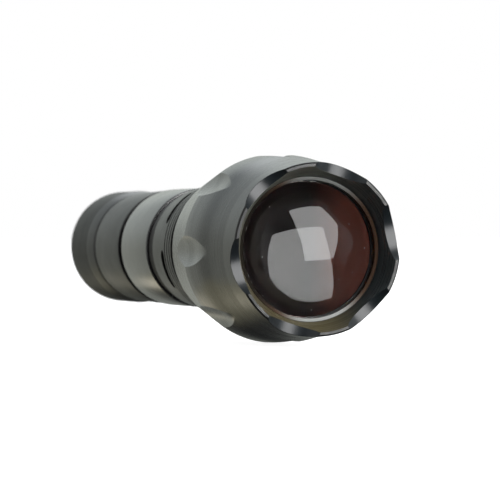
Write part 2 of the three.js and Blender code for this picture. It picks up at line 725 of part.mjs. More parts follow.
function rubberBoot() {
  const flangeFront = SWITCH_HOUSING_REAR + RUNNING_GAP;
  const flangeRear = CAP_WALL_FRONT - SEAT_GAP;
  const flange = CAP_CHAMBER_RADIUS - BOOT_PLAY;
  return turn([
    ...BOOT_CEILING,
    [flangeFront, BOOT_CEILING[BOOT_CEILING.length - 1][1]],
    [flangeFront, flange],
    [flangeRear, flange],
    [flangeRear, BOOT_DOME[0][1]],
    ...BOOT_DOME,
  ]);
}

// ---------------------------------------------------------------- materials
const FINISHES = {
  anodised: { color: 0x5c5f5c, roughness: 0.42, metalness: 0.9 },
  darkAnodised: { color: 0x3a3c3a, roughness: 0.45, metalness: 0.9 },
  bareAluminium: { color: 0xb9bdbf, roughness: 0.25, metalness: 1 },
  glass: { color: 0xcfd6da, roughness: 0.05, metalness: 0 },
  blackRubber: { color: 0x141414, roughness: 0.85, metalness: 0 },
  blackPlastic: { color: 0x1c1c1d, roughness: 0.5, metalness: 0 },
  copperTone: { color: 0x8a5a3c, roughness: 0.4, metalness: 1 },
  steel: { color: 0xa8a8a6, roughness: 0.3, metalness: 1 },
  board: { color: 0x1f5a36, roughness: 0.6, metalness: 0 },
  whiteBoard: { color: 0xdcdcd8, roughness: 0.5, metalness: 0 },
  phosphor: { color: 0xe3c94a, roughness: 0.35, metalness: 0 },
  redWire: { color: 0xa32520, roughness: 0.6, metalness: 0 },
  blackWire: { color: 0x1a1a1a, roughness: 0.6, metalness: 0 },
  sleeve: { color: 0xd8d8d2, roughness: 0.55, metalness: 0 },
  cellWrap: { color: 0x2f6f8c, roughness: 0.4, metalness: 0 },
};

function piece(name, geometry, finish) {
  const mesh = new THREE.Mesh(geometry, new THREE.MeshStandardMaterial(FINISHES[finish]));
  mesh.name = name;
  return mesh;
}

function group(...children) {
  const node = new THREE.Group();
  node.add(...children);
  return node;
}

const head = group(
  piece("bezel_ring", bezelRing(), "anodised"),
  piece("head_shell", headShell(), "anodised"),
  piece("lens", lens(), "glass"),
  piece("lens_retaining_ring", lensRetainingRing(), "bareAluminium"),
  piece("lens_front_gasket", lensGasket(LENS_RING_REAR + SEAT_GAP), "blackRubber"),
  piece("lens_rear_gasket", lensGasket(LENS_BACK + SEAT_GAP), "blackRubber"),
  piece("zoom_o_ring", zoomORing(), "blackRubber"),
);

const lightEngine = group(
  piece("led_pill", ledPill(), "copperTone"),
  piece("led_cover", ledCover(), "darkAnodised"),
  piece("led_board", ledBoard(), "whiteBoard"),
  piece("led_emitter", ledEmitter(), "phosphor"),
  piece("led_lead_positive", ledLead(1), "redWire"),
  piece("led_lead_negative", ledLead(-1), "blackWire"),
  piece("driver_board", driverBoard(), "board"),
  piece("driver_spring", driverSpring(), "steel"),
);

const barrel = group(
  piece("neck_housing", neckHousing(), "anodised"),
  piece("head_stop_ring", headStopRing(), "steel"),
  piece("neck_seal_ring", neckSealRing(), "blackRubber"),
  piece("battery_tube", batteryTube(), "anodised"),
  piece("battery_sleeve", batterySleeve(), "sleeve"),
  piece("battery_cell", batteryCell(), "cellWrap"),
  piece("tail_o_ring", tailORing(), "blackRubber"),
);

const tail = group(
  piece("tail_cap", tailCap(), "darkAnodised"),
  piece("tail_spring", tailSpring(), "steel"),
  piece("switch_retaining_ring", switchRetainingRing(), "bareAluminium"),
  piece("switch_board", switchBoard(), "board"),
  piece("switch_housing", switchHousing(), "blackPlastic"),
  piece("switch_spring", switchSpring(), "steel"),
  piece("switch_plunger", switchPlunger(), "blackPlastic"),
  piece("rubber_boot", rubberBoot(), "blackRubber"),
);

const flashlight = group(head, lightEngine, barrel, tail);

export default flashlight;
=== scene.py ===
"""Looks of a tactical flashlight with a sliding, crenellated head.

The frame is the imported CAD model. Its optical axis is Y and the lens faces -Y. Along the axis, a
station is a distance in millimetres behind the front lands of the bezel. Angles round the axis are
in degrees, anticlockwise from +X as seen from the lens.
"""

import math

import bmesh
import bpy
from mathutils import Matrix, Vector


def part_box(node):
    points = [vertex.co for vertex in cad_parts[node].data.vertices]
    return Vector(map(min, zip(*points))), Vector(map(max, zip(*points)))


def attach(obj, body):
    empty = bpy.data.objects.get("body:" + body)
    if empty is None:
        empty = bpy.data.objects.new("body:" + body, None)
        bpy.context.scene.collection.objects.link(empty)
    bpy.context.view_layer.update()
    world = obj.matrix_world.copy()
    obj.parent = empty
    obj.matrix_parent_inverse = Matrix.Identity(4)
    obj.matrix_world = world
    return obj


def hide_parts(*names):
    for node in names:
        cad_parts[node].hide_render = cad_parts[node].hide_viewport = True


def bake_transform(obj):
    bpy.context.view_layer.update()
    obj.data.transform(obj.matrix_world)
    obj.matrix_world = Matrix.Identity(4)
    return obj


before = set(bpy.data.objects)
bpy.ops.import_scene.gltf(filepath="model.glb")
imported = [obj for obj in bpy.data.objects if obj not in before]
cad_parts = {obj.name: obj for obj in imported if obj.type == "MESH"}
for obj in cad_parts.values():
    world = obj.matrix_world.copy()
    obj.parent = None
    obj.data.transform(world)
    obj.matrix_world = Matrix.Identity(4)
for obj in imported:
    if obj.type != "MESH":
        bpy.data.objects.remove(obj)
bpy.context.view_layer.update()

# ---------------- sizes taken from the frame
MM = 0.001
FRONT_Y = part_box("bezel_ring")[0].y


def span(node):
    """First and last station of a CAD node."""
    low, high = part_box(node)
    return (low.y - FRONT_Y) / MM, (high.y - FRONT_Y) / MM


HEAD_FRONT, HEAD_REAR = span("head_shell")
NECK_FRONT, NECK_REAR = span("neck_housing")
SEAL_FRONT, SEAL_REAR = span("neck_seal_ring")
TUBE_FRONT, TUBE_SPIGOT_REAR = span("battery_tube")
CAP_FRONT, CAP_REAR = span("tail_cap")
LENS_RING_FRONT, LENS_RING_REAR = span("lens_retaining_ring")
LENS_APEX, LENS_BACK = span("lens")
COVER_FRONT, COVER_REAR = span("led_cover")
BOOT_FRONT, BOOT_REAR = span("rubber_boot")
BEZEL_SPIGOT_REAR = span("bezel_ring")[1]
PILL_BORE_REAR = span("led_pill")[1] + 0.3
COLLAR_REAR = SEAL_FRONT - 0.15
TUBE_REAR = CAP_FRONT - 0.9

# ---------------- shape of the visible sections
# In millimetres and degrees, as in the CAD model where both have the feature.
PLAY = 0.1  # between a spigot and its socket
BEZEL_REAR = HEAD_FRONT - 0.015
LAND_OUTER = 17.55
LAND_INNER = 16.95
LAND_CHAMFER = 0.3
LAND_HATCH = 0.42  # pitch of the mill marks along x and z
BEZEL_REAR_RADIUS = 18.25
MOUTH_RADIUS = 15.0
MOUTH_DEPTH = 5.4
RING_BORE = 14.2
SPIGOT_OUTER = 16.1
SCALLOPS = 6
SCALLOP_FIRST = 12.0
SCALLOP_DEPTH = 2.9
SCALLOP_HALF_CHORD = 5.75
PETALS = 8
PETAL_FIRST = 1.5
PETAL_CUTTER = 5.5
PETAL_APEX = 16.0
PETAL_TIP = 14.9
PETAL_POINT = 12.0  # length over which the petal's tip widens
PETAL_FLOOR_AT_APEX = 19.05
PETAL_END = 40.0
PETAL_FLOOR_AT_END = 18.3
HEAD_RADIUS = 20.0
HEAD_CORNER = 30.0
CORNER_EDGE = 0.03  # from the corner to a row on either side, which keep it crisp
HEAD_REAR_RADIUS = 16.8
HEAD_BORE = 15.2
HEAD_GROOVE_FRONT = 47.3
HEAD_GROOVE_REAR = 49.3
HEAD_GROOVE_RADIUS = 15.15
LIP_FRONT = 46.0
NECK_RADIUS = 13.5
NECK_BORE = 12.1
STOP_GROOVE_FRONT = 31.5
STOP_GROOVE_REAR = 33.5
STOP_GROOVE_DEPTH = 0.5
LIP_RADIUS = NECK_RADIUS + PLAY
LENS_SHELF = LENS_BACK + 1.2
LENS_POCKET = 15.05
LENS_FLANGE = 14.8
DOME_BASE = 14.0
DOME_SPHERE = 19.5
ZOOM_RING_MIDDLE = 14.36
ZOOM_RING_SECTION = 0.74
COLLAR_FRONT = 57.2
COLLAR_FRONT_RADIUS = 15.15
COLLAR_REAR_RADIUS = 13.75
COLLAR_GROOVES = (59.0, 61.3, 63.7)
GROOVE_HALF_WIDTH = 0.42
GROOVE_DEPTH = 0.45
SLOTS = 6
SLOT_FIRST = 20.0
SLOT_FRONT = 65.0
SLOT_REAR = 68.0
SLOT_HALF_ARC = 18.0
SLOT_FLOOR = 12.6
SLOT_RIM = 0.18  # from a slot's ends to the next plain row
SEAL_THICKNESS = 0.8
COVER_OUTER = 12.8
COVER_INNER = 11.6
COVER_THICKNESS = 1.2
TUBE_GROOVE = 105.2
TUBE_GROOVE_WIDTH = 3.3
TUBE_GROOVE_DEPTH = 0.9
TUBE_RADIUS = 13.6
TUBE_REAR_RADIUS = 13.1
SPIGOT_RADIUS = 12.2
SPIGOT_GROOVE_FRONT = 134.2
SPIGOT_GROOVE_REAR = 135.3
SPIGOT_GROOVE_RADIUS = 11.4
BORE_RADIUS = 10.9
CAP_RADIUS = 13.6
CAP_LIP_REAR = 138.0
CAP_STEP = 141.0
CAP_CHAMBER = 10.2
CAP_WALL_FRONT = 152.3
BUTTON_HOLE = 6.9
BOOT_WALL = 1.2
BOOT_SHOULDER = 0.7  # from the boot's top to where its side begins
BOOT_HOLLOW = 5.5
TURNS = 180  # facets round a turned piece
WELD = 2e-7  # metres; closer points become one


# ---------------- mesh helpers
def polar(station, radius, degrees):
    """A point in the row frame from a station, a radius and an angle round the axis."""
    angle = math.radians(degrees)
    x = radius * MM * math.cos(angle)
    z = radius * MM * math.sin(angle)
    return Vector((x, FRONT_Y + station * MM, z))


def station_of(point):
    return (point.y - FRONT_Y) / MM


def soften(outline, steps=6):
    """Rounds the corners of a closed outline of (station, radius, rounding)."""
    longest = 0.45  # share of a side that one corner may use
    points = []
    count = len(outline)
    for i, (station, radius, rounding) in enumerate(outline):
        corner = Vector((station, radius))
        if rounding <= 0:
            points.append(corner)
            continue
        before = Vector(outline[i - 1][:2]) - corner
        after = Vector(outline[(i + 1) % count][:2]) - corner
        start = corner + before.normalized() * min(rounding, longest * before.length)
        end = corner + after.normalized() * min(rounding, longest * after.length)
        for k in range(steps + 1):
            t = k / steps
            points.append((1 - t) ** 2 * start + 2 * t * (1 - t) * corner + t * t * end)
    return points


def add_object(name, data):
    """A new object in the scene, at the origin."""
    made = bpy.data.objects.new(name, data)
    bpy.context.scene.collection.objects.link(made)
    return made


def skin(name, rows, closed, materials, tag=None, sharp=24.0):
    """A surface through rows of points that close round the axis.

    Closed joins the last row to the first. Tag gives a face's material index from its row and
    column. Edges that bend by more than sharp degrees stay sharp.
    """
    mesh = bpy.data.meshes.new(name)
    bm = bmesh.new()
    grid = [[bm.verts.new(point) for point in row] for row in rows]
    pairs = list(zip(grid, grid[1:]))
    if closed:
        pairs.append((grid[-1], grid[0]))
    width = len(rows[0])
    for i, (row, following) in enumerate(pairs):
        for j in range(width):
            k = (j + 1) % width
            face = bm.faces.new((row[j], row[k], following[k], following[j]))
            face.smooth = True
            if tag:
                face.material_index = tag(i, j)
    bmesh.ops.remove_doubles(bm, verts=bm.verts, dist=WELD)
    bmesh.ops.dissolve_degenerate(bm, edges=bm.edges, dist=WELD)
    bmesh.ops.recalc_face_normals(bm, faces=bm.faces)
    limit = math.radians(sharp)
    for edge in bm.edges:
        if len(edge.link_faces) == 2 and edge.calc_face_angle(0.0) > limit:
            edge.smooth = False
    bm.to_mesh(mesh)
    bm.free()
    for material in materials:
        mesh.materials.append(material)
    return add_object(name, mesh)


def turned(name, outline, materials, zone=None, facets=TURNS, sharp=24.0):
    """Turns an outline round the axis. Zone gives the material index at a station and a radius."""
    points = soften(outline)
    rows = []
    for station, radius in points:
        rows.append([polar(station, radius, 360 * k / facets) for k in range(facets)])
    tag = None
    if zone:
        middles = [(a + b) / 2 for a, b in zip(points, points[1:] + points[:1])]
        indices = [zone(middle.x, middle.y) for middle in middles]

        def tag(i, j):
            return indices[i]

    return skin(name, rows, True, materials, tag, sharp)


def stand_for(piece, node, body):
    """The piece takes a CAD node's place and rides on its body."""
    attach(piece, body)
    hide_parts(node)


# ---------------- material helpers
WHITE = (1.0, 1.0, 1.0, 1.0)
INPUTS = {  # short names of the surface's inputs
    "colour": "Base Color",
    "roughness": "Roughness",
    "metallic": "Metallic",
    "normal": "Normal",
    "ior": "IOR",
    "transmission": "Transmission Weight",
    "anisotropic": "Anisotropic",
    "anisotropic_turn": "Anisotropic Rotation",
    "specular": "Specular IOR Level",
    "sheen": "Sheen Weight",
}


class Nodes:
    """A node tree, with short calls for the nodes that the finishes and the studio share."""

    def __init__(self, owner):
        owner.use_nodes = True
        self.tree = owner.node_tree

    def node(self, kind, **settings):
        made = self.tree.nodes.new("ShaderNode" + kind)
        for key, value in settings.items():
            setattr(made, key, value)
        return made

    def link(self, source, target):
        self.tree.links.new(source, target)

    def put(self, target, value):
        if hasattr(value, "is_linked"):
            self.link(value, target)
        else:
            target.default_value = value

    def fill(self, made, *values):
        """Puts values into a node's first inputs and returns its first output."""
        for socket, value in zip(made.inputs, values):
            self.put(socket, value)
        return made.outputs[0]

    def math(self, operation, a, b=0.0):
        return self.fill(self.node("Math", operation=operation), a, b)

    def ramp(self, value, low, high, to_low=0.0, to_high=1.0):
        """A smooth step from to_low to to_high as the value goes from low to high."""
        made = self.node("MapRange", interpolation_type="SMOOTHSTEP")
        return self.fill(made, value, low, high, to_low, to_high)

    def shade(self, kind, colour):
        """A plain shader of one colour."""
        made = self.node(kind)
        self.put(made.inputs["Color"], colour)
        return made.outputs[0]

    def either(self, factor, a, b):
        """Shader a where the factor is 0 and b where it is 1."""
        return self.fill(self.node("MixShader"), factor, a, b)


class Shader(Nodes):
    """A material of a surface."""

    def __init__(self, name):
        self.material = bpy.data.materials.new(name)
        super().__init__(self.material)
        self.base = self.tree.nodes["Principled BSDF"]
        self.surface = self.tree.nodes["Material Output"].inputs["Surface"]
        self.place = self.node("TexCoord").outputs["Object"]

    def mix(self, factor, a, b):
        """Colour a where the factor is 0 and b where it is 1."""
        made = self.node("Mix", data_type="RGBA")
        self.put(made.inputs[0], factor)
        self.put(made.inputs[6], a)
        self.put(made.inputs[7], b)
        return made.outputs[2]

    def axes(self):
        """The x, y and z coordinates of a point, in metres."""
        split = self.node("SeparateXYZ")
        self.link(self.place, split.inputs[0])
        return split.outputs

    def noise(self, scale, detail=3.0, roughness=0.6, place=None):
        made = self.node("TexNoise")
        self.link(place or self.place, made.inputs["Vector"])
        made.inputs["Scale"].default_value = scale
        made.inputs["Detail"].default_value = detail
        made.inputs["Roughness"].default_value = roughness
        return made.outputs["Fac"]

    def axial_place(self, scale):
        """Coordinates in which noise becomes rings round the optical axis."""
        x, y, z = self.axes()
        square = self.math("ADD", self.math("MULTIPLY", x, x), self.math("MULTIPLY", z, z))
        along = self.math("MULTIPLY", y, scale)
        outwards = self.math("MULTIPLY", self.math("SQRT", square), scale)
        return self.fill(self.node("CombineXYZ"), along, outwards)

    def rings(self, per_mm, detail=2.0):
        """Fine turning lines: noise that changes along the axis and along the radius only."""
        return self.noise(1.0, detail, 0.65, self.axial_place(per_mm / MM))

    def bump(self, height, depth_mm, normal=None):
        made = self.node("Bump")
        made.inputs["Strength"].default_value = 1.0
        made.inputs["Distance"].default_value = depth_mm * MM
        self.link(height, made.inputs["Height"])
        if normal:
            self.link(normal, made.inputs["Normal"])
        return made.outputs["Normal"]

    def glow(self, radiance):
        """White light that the surface gives off."""
        made = self.shade("Emission", WHITE)
        made.node.inputs["Strength"].default_value = radiance
        return made

    def set(self, **inputs):
        """Sets inputs of the surface by their names in INPUTS and returns the material."""
        for key, value in inputs.items():
            self.put(self.base.inputs[INPUTS[key]], value)
        return self.material


def rgba(red, green, blue):
    return (red, green, blue, 1.0)


def scaled(tone, factor):
    """An opaque colour, darker or brighter than the tone."""
    return rgba(*(factor * c for c in tone[:3]))


def anodised(name, tone=0.022, roughness=0.24, specular=0.5, ring_depth=0.003, lines=2.4):
    """Black hard-anodised aluminium: fine turned rings under a satin film, and faint clouds."""
    s = Shader(name)
    cloud = s.noise(260.0, 4.0)
    fine = s.rings(lines * 3)
    broad = s.rings(lines)
    grain = s.noise(5200.0, 2.0)
    dark = rgba(tone, 1.03 * tone, 1.05 * tone)
    worn = scaled((tone, tone, tone), 1.4)
    colour = s.mix(s.ramp(fine, 0.35, 0.75), dark, worn)
    rough = s.ramp(fine, 0.3, 0.7, roughness - 0.03, roughness + 0.05)
    rough = s.math("ADD", rough, s.ramp(cloud, 0.3, 0.7, -0.015, 0.02))
    normal = s.bump(broad, ring_depth * 2.0)
    normal = s.bump(fine, ring_depth, normal=normal)
    normal = s.bump(grain, 0.0008, normal=normal)
    return s.set(colour=colour, roughness=rough, ior=1.6, specular=specular, normal=normal)


def machined(name, tone, roughness, dark=0.55):
    """Bright bare metal with cutter marks that run round the axis."""
    s = Shader(name)
    marks = s.rings(4.0, 3.0)
    haze = s.noise(240.0, 4.0)
    colour = s.mix(s.ramp(marks, 0.38, 0.68), scaled(tone, dark), tone)
    rough = s.ramp(haze, 0.3, 0.75, roughness, roughness + 0.12)
    return s.set(colour=colour, roughness=rough, metallic=1.0, normal=s.bump(marks, 0.006))


def turned_face_with_painted_shade(name, tone):
    """A bare face with concentric cutter marks, brightest above and below; painted shade darkens
    both sides and turns it near black towards -X.
    """
    s = Shader(name)
    x, _, _ = s.axes()
    marks = s.rings(9.0, 3.0)
    along = s.node("Tangent", direction_type="RADIAL", axis="Y")
    s.link(along.outputs[0], s.base.inputs["Tangent"])
    colour = s.mix(s.ramp(marks, 0.35, 0.7), scaled(tone, 0.6), tone)
    # Painted shade: darker at both sides of the face and near black towards -X, standing in for its
    # reflections.
    aside = s.math("ABSOLUTE", s.math("SUBTRACT", x, 0.0025))
    colour = s.mix(s.ramp(aside, 0.003, 0.01), colour, rgba(0.03, 0.018, 0.012))
    colour = s.mix(s.ramp(x, -0.012, -0.003), rgba(0.006, 0.005, 0.004), colour)
    normal = s.bump(marks, 0.01)
    turn = 0.25  # of a full turn, from the direction of the marks
    return s.set(colour=colour, roughness=0.3, metallic=1.0, anisotropic=0.95,
                 anisotropic_turn=turn, normal=normal)


def mouth_finish_with_painted_light(name):
    """Dull anodising of the mouth with painted light and shade: olive below, grey above and
    blue-black at the +X side.
    """
    s = Shader(name)
    x, _, z = s.axes()
    lines = s.rings(2.4)
    olive = rgba(0.085, 0.073, 0.038)
    grey = rgba(0.15, 0.155, 0.13)
    # Painted light and shade: olive lower down, grey higher up and blue-black towards +X.
    painted_light_by_height = s.mix(s.ramp(z, -0.013, 0.011), olive, grey)
    colour = s.mix(s.ramp(x, 0.001, 0.013), painted_light_by_height, rgba(0.008, 0.013, 0.015))
    rough = s.ramp(lines, 0.3, 0.7, 0.26, 0.34)
    return s.set(colour=colour, roughness=rough, specular=0.25, normal=s.bump(lines, 0.003))


def land_finish_with_painted_shade(name):
    """Lands bare of anodising, with the fine slanting marks of the mill that faced them, and
    painted shade towards -X.
    """
    s = Shader(name)
    x, _, z = s.axes()
    turns_per_metre = 2 * math.pi / (LAND_HATCH * MM)
    hatch = s.math("SINE", s.math("MULTIPLY", s.math("ADD", x, z), turns_per_metre))
    wear = s.noise(700.0, 3.0)
    bright = s.mix(s.ramp(wear, 0.35, 0.65), rgba(0.1, 0.1, 0.1), rgba(0.2, 0.2, 0.19))
    # Painted shade: the lands turn darker towards -X.
    bright = s.mix(s.ramp(x, -0.0145, -0.012), rgba(0.04, 0.04, 0.04), bright)
    colour = s.mix(s.ramp(hatch, -0.5, 0.6), rgba(0.025, 0.026, 0.026), bright)
    return s.set(colour=colour, roughness=0.4, specular=0.4, normal=s.bump(hatch, 0.012))


def cut_face(name, tone):
    """Faces cut after turning and then anodised: black, with a faint sweep of the cutter."""
    s = Shader(name)
    sweep = s.rings(1.6, 3.0)
    haze = s.noise(420.0, 4.0)
    colour = s.mix(s.ramp(haze, 0.3, 0.8), tone, scaled(tone, 1.5))
    rough = s.ramp(haze, 0.3, 0.75, 0.3, 0.35)
    return s.set(colour=colour, roughness=rough, ior=1.6, normal=s.bump(sweep, 0.002))


def optical_glass(name):
    """Clear moulded lens: faint ring marks of the mould and a few specks of dust."""
    s = Shader(name)
    marks = s.rings(0.55, 1.0)
    dust = s.node("TexVoronoi", feature="F1")
    s.link(s.place, dust.inputs["Vector"])
    dust.inputs["Scale"].default_value = 900.0
    speck = s.math("LESS_THAN", dust.outputs["Distance"], 0.08)
    speck = s.math("MULTIPLY", speck, s.ramp(s.noise(260.0, 2.0), 0.56, 0.6))
    rough = s.math("MULTIPLY", speck, 0.6)
    normal = s.bump(marks, 0.0012)
    tint = rgba(0.985, 0.99, 0.99)
    material = s.set(colour=tint, roughness=rough, transmission=1.0, ior=1.5, normal=normal)
    let_light_through(s, speck)
    return material


def let_light_through(s, speck):
    """Lets light into the cavity through the glass, as a real lens does, and keeps dust pale."""
    pale = s.shade("BsdfDiffuse", rgba(0.75, 0.72, 0.68))
    dusty = s.either(s.math("MULTIPLY", speck, 0.3), s.base.outputs[0], pale)
    clear = s.shade("BsdfTransparent", rgba(0.35, 0.35, 0.35))
    lit = s.either(s.node("LightPath").outputs["Is Shadow Ray"], dusty, clear)
    s.link(lit, s.surface)


def rubber(name, tone=(0.018, 0.018, 0.019), roughness=0.62):
    """Moulded black rubber: fine grain and a dusty bloom."""
    s = Shader(name)
    grain = s.noise(2600.0, 4.0)
    bloom = s.noise(150.0, 4.0)
    colour = s.mix(s.ramp(bloom, 0.4, 0.75), rgba(*tone), scaled(tone, 2.1))
    rough = s.ramp(bloom, 0.3, 0.7, roughness - 0.06, roughness + 0.1)
    return s.set(colour=colour, roughness=rough, normal=s.bump(grain, 0.008), sheen=0.08)


def plastic(name, tone, roughness=0.45):
    """Moulded plastic or varnish with a light orange peel."""
    s = Shader(name)
    peel = s.noise(1500.0, 3.0)
    cloud = s.noise(160.0, 3.0)
    colour = s.mix(s.ramp(cloud, 0.35, 0.7), rgba(*tone), scaled(tone, 0.82))
    rough = s.ramp(peel, 0.3, 0.7, roughness - 0.05, roughness + 0.08)
    return s.set(colour=colour, roughness=rough, normal=s.bump(peel, 0.004))


def cavity_finish_with_painted_light(name):
    """Reddish-brown anodising inside the head, with painted light: reddest towards -X and dark at
    the other side.
    """
    s = Shader(name)
    x, _, _ = s.axes()
    lines = s.rings(3.0)
    cloud = s.noise(120.0, 3.0)
    lit = s.mix(s.ramp(cloud, 0.3, 0.7), rgba(0.9, 0.24, 0.13), rgba(0.75, 0.18, 0.09))
    # Painted light and shade: bright red towards -X, dark towards +X.
    colour = s.mix(s.ramp(x, -0.012, 0.002), lit, rgba(0.1, 0.022, 0.012))
    rough = s.ramp(lines, 0.3, 0.7, 0.38, 0.5)
    return s.set(colour=colour, roughness=rough, metallic=0.55, normal=s.bump(lines, 0.006))


def cover_finish_with_painted_light(name):
    """Brown-black anodised disc behind the lens, with painted light that makes it redder at its +X
    side.
    """
    s = Shader(name)
    x, _, _ = s.axes()
    lines = s.rings(2.0)
    dark = rgba(0.014, 0.005, 0.004)
    # Painted light: the disc turns red and brighter towards +X.
    colour = s.mix(s.ramp(x, 0.007, 0.0095), dark, rgba(0.34, 0.08, 0.038))
    rough = s.ramp(lines, 0.3, 0.7, 0.38, 0.46)
    return s.set(colour=colour, roughness=rough, normal=s.bump(lines, 0.004))


# ---------------- finishes
HEAD_BLACK = anodised("head_anodising", ring_depth=0.0012)
CONE_BLACK = anodised("cone_anodising", specular=0.75, ring_depth=0.0012)
BEZEL_BLACK = anodised("bezel_anodising", roughness=0.22, ring_depth=0.0012)
MOUTH_BLACK = mouth_finish_with_painted_light("mouth_anodising")
CHAMFER_BLACK = anodised("chamfer_anodising", tone=0.01, roughness=0.25)
COLLAR_BLACK = anodised("collar_anodising", roughness=0.3, specular=0.08, lines=1.6)
TUBE_SATIN = anodised("tube_satin_anodising", roughness=0.2, specular=0.85, ring_depth=0.0008)
TUBE_MATT = anodised("tube_matt_anodising", roughness=0.38, specular=0.28)
LIP_SATIN = anodised("cap_lip_anodising", roughness=0.38, specular=0.55)
CAP_MATT = anodised("cap_matt_anodising", roughness=0.42, specular=0.08, tone=0.014)
# Painted shade: darker, duller anodising for grooves, slots, bores and the head's rear face, where
# shade falls.
RECESS_PAINTED_SHADE = anodised("recess_anodising_painted_shade", tone=0.008, roughness=0.5, specular=0.1)
NECK_BARE = anodised("neck_slide_anodising", tone=0.04, roughness=0.18)
LAND_BRIGHT = land_finish_with_painted_shade("land_aluminium")
SCALLOP_BLACK = cut_face("scallop_anodising", rgba(0.008, 0.011, 0.013))
RING_TURNED = turned_face_with_painted_shade("ring_aluminium", rgba(0.12, 0.125, 0.12))
SWITCH_RING = machined("switch_ring_aluminium", rgba(0.72, 0.7, 0.68), roughness=0.16)
GLASS = optical_glass("lens_glass")
GASKET_BLACK = rubber("gasket_rubber", tone=(0.007, 0.006, 0.006))
BOOT_BLACK = rubber("boot_rubber", roughness=0.7)
CAVITY = cavity_finish_with_painted_light("cavity_anodising")
STEEL = machined("spring_steel", rgba(0.6, 0.6, 0.59), roughness=0.28, dark=0.8)
PILL_METAL = machined("pill_metal", rgba(0.5, 0.26, 0.14), roughness=0.3, dark=0.75)
COVER_DARK = cover_finish_with_painted_light("cover_anodising")


# ---------------- bezel
def mouth_radius(station):
    """Radius of the conical mouth at a station."""
    share = min(1.0, max(0.0, station / MOUTH_DEPTH))
    return LAND_INNER + (MOUTH_RADIUS - LAND_INNER) * share


def bezel_radius(station):
    """Outside radius of the bezel at a station: a chamfer behind the lands, then a slow cone."""
    shoulder = LAND_OUTER + LAND_CHAMFER
    if station < LAND_CHAMFER:
        return LAND_OUTER + station
    share = (station - LAND_CHAMFER) / (BEZEL_REAR - LAND_CHAMFER)
    return shoulder + (BEZEL_REAR_RADIUS - shoulder) * share


def bezel_columns():
    """Places round the bezel, each with the middle angle of its scallop.

    A place in a scallop has its tangential offset, and one on a land its share of the land.
    """
    across = 30
    along = 12
    columns = []
    for k in range(SCALLOPS):
        middle = SCALLOP_FIRST + 360 * k / SCALLOPS
        for i in range(across + 1):
            offset = SCALLOP_HALF_CHORD * math.sin(math.pi * (i / across - 0.5))
            columns.append(("scallop", middle, offset))
        for i in range(1, along):
            columns.append(("land", middle, i / along))
    return columns


def scallop_floor(offset):
    """Depth of a scallop behind the lands at a tangential offset from its middle."""
    radius = (SCALLOP_HALF_CHORD**2 + SCALLOP_DEPTH**2) / (2 * SCALLOP_DEPTH)
    return max(0.0, SCALLOP_DEPTH - radius + math.sqrt(radius**2 - offset**2))


def bezel_angle(column, radius):
    """Angle round the axis of a column of the bezel at a radius."""
    kind, middle, value = column
    if kind == "scallop":
        return middle + math.degrees(math.asin(value / radius))
    edge = math.degrees(math.asin(SCALLOP_HALF_CHORD / radius))
    pitch = 360 / SCALLOPS
    return middle + edge + (pitch - 2 * edge) * value


def bezel_flank(floor, share):
    """Outside, from the rear edge forward to just behind a floor or a land."""
    shoulder = max(floor + 0.12, LAND_CHAMFER + 0.04)
    station = BEZEL_REAR + (shoulder - BEZEL_REAR) * share
    return station, bezel_radius(station)


def bezel_chamfer_rear(floor, _):
    """Rear row of the narrow edge round the front."""
    station = max(floor + 0.08, LAND_CHAMFER - 0.04)
    return station, bezel_radius(station)


def bezel_chamfer_front(floor, _):
    """Front row of the narrow edge round the front."""
    station = floor + 0.02
    return station, bezel_radius(station) - 0.03


def bezel_front(floor, share):
    """Across a floor or a land, from the outside to the mouth."""
    outside = bezel_radius(floor) - 0.05
    return floor, outside + (mouth_radius(floor) + 0.03 - outside) * share


def bezel_mouth(floor, share):
    """Down the conical mouth, from a floor or a land."""
    start = floor + 0.05
    station = start + (MOUTH_DEPTH - start) * share
    return station, mouth_radius(station)


BEZEL_BANDS = (
    ("flank", bezel_flank, 15),
    ("chamfer", bezel_chamfer_rear, 1),
    ("chamfer", bezel_chamfer_front, 1),
    ("front", bezel_front, 9),
    ("mouth", bezel_mouth, 11),
)
SOCKET_FACE = BEZEL_REAR + 0.06
BEZEL_SPIGOT = (
    (BEZEL_SPIGOT_REAR, MOUTH_RADIUS),
    (BEZEL_SPIGOT_REAR, SPIGOT_OUTER),
    (SOCKET_FACE, SPIGOT_OUTER),
    (SOCKET_FACE, BEZEL_REAR_RADIUS - 0.12),
)


def bezel_rows(columns):
    """Rows from the rear edge over the front, down the mouth and back, and the kind of each."""
    floors = [scallop_floor(value) if kind == "scallop" else 0.0 for kind, _, value in columns]
    places = []
    for kind, profile, count in BEZEL_BANDS:
        for i in range(count):
            share = i / max(1, count - 1)
            places.append((kind, [profile(floor, share) for floor in floors]))
    places += [("spigot", [place] * len(floors)) for place in BEZEL_SPIGOT]
    rows = []
    for _, ring in places:
        row = []
        for column, (station, radius) in zip(columns, ring):
            row.append(polar(station, radius, bezel_angle(column, radius)))
        rows.append(row)
    return rows, [kind for kind, _ in places]


def make_bezel():
    columns = bezel_columns()
    rows, kinds = bezel_rows(columns)
    count = len(columns)

    def tag(i, j):
        kind, following = kinds[i], kinds[(i + 1) % len(kinds)]
        in_scallop = columns[j][0] == "scallop" and columns[(j + 1) % count][0] == "scallop"
        if kind == "front" and following == "front":
            return 2 if in_scallop else 1
        if kind == "chamfer" or following == "chamfer":
            return 4
        return 3 if kind in ("mouth", "front") else 0

    materials = [BEZEL_BLACK, LAND_BRIGHT, SCALLOP_BLACK, MOUTH_BLACK, CHAMFER_BLACK]
    piece = skin("bezel", rows, True, materials, tag, 16.0)
    stand_for(piece, "bezel_ring", "head")


# ---------------- head shell
HEAD_CURVE = (  # station and radius
    (HEAD_FRONT, BEZEL_REAR_RADIUS + 0.01),
    (14.0, 18.9),
    (21.0, 19.7),
    (27.0, HEAD_RADIUS),
    (HEAD_CORNER, HEAD_RADIUS),
)
PETAL_FACETS = 22
LAND_FACETS = 12
PLAIN_EDGE = 0.12  # radians; half the angle of a petal's columns on the inside rows


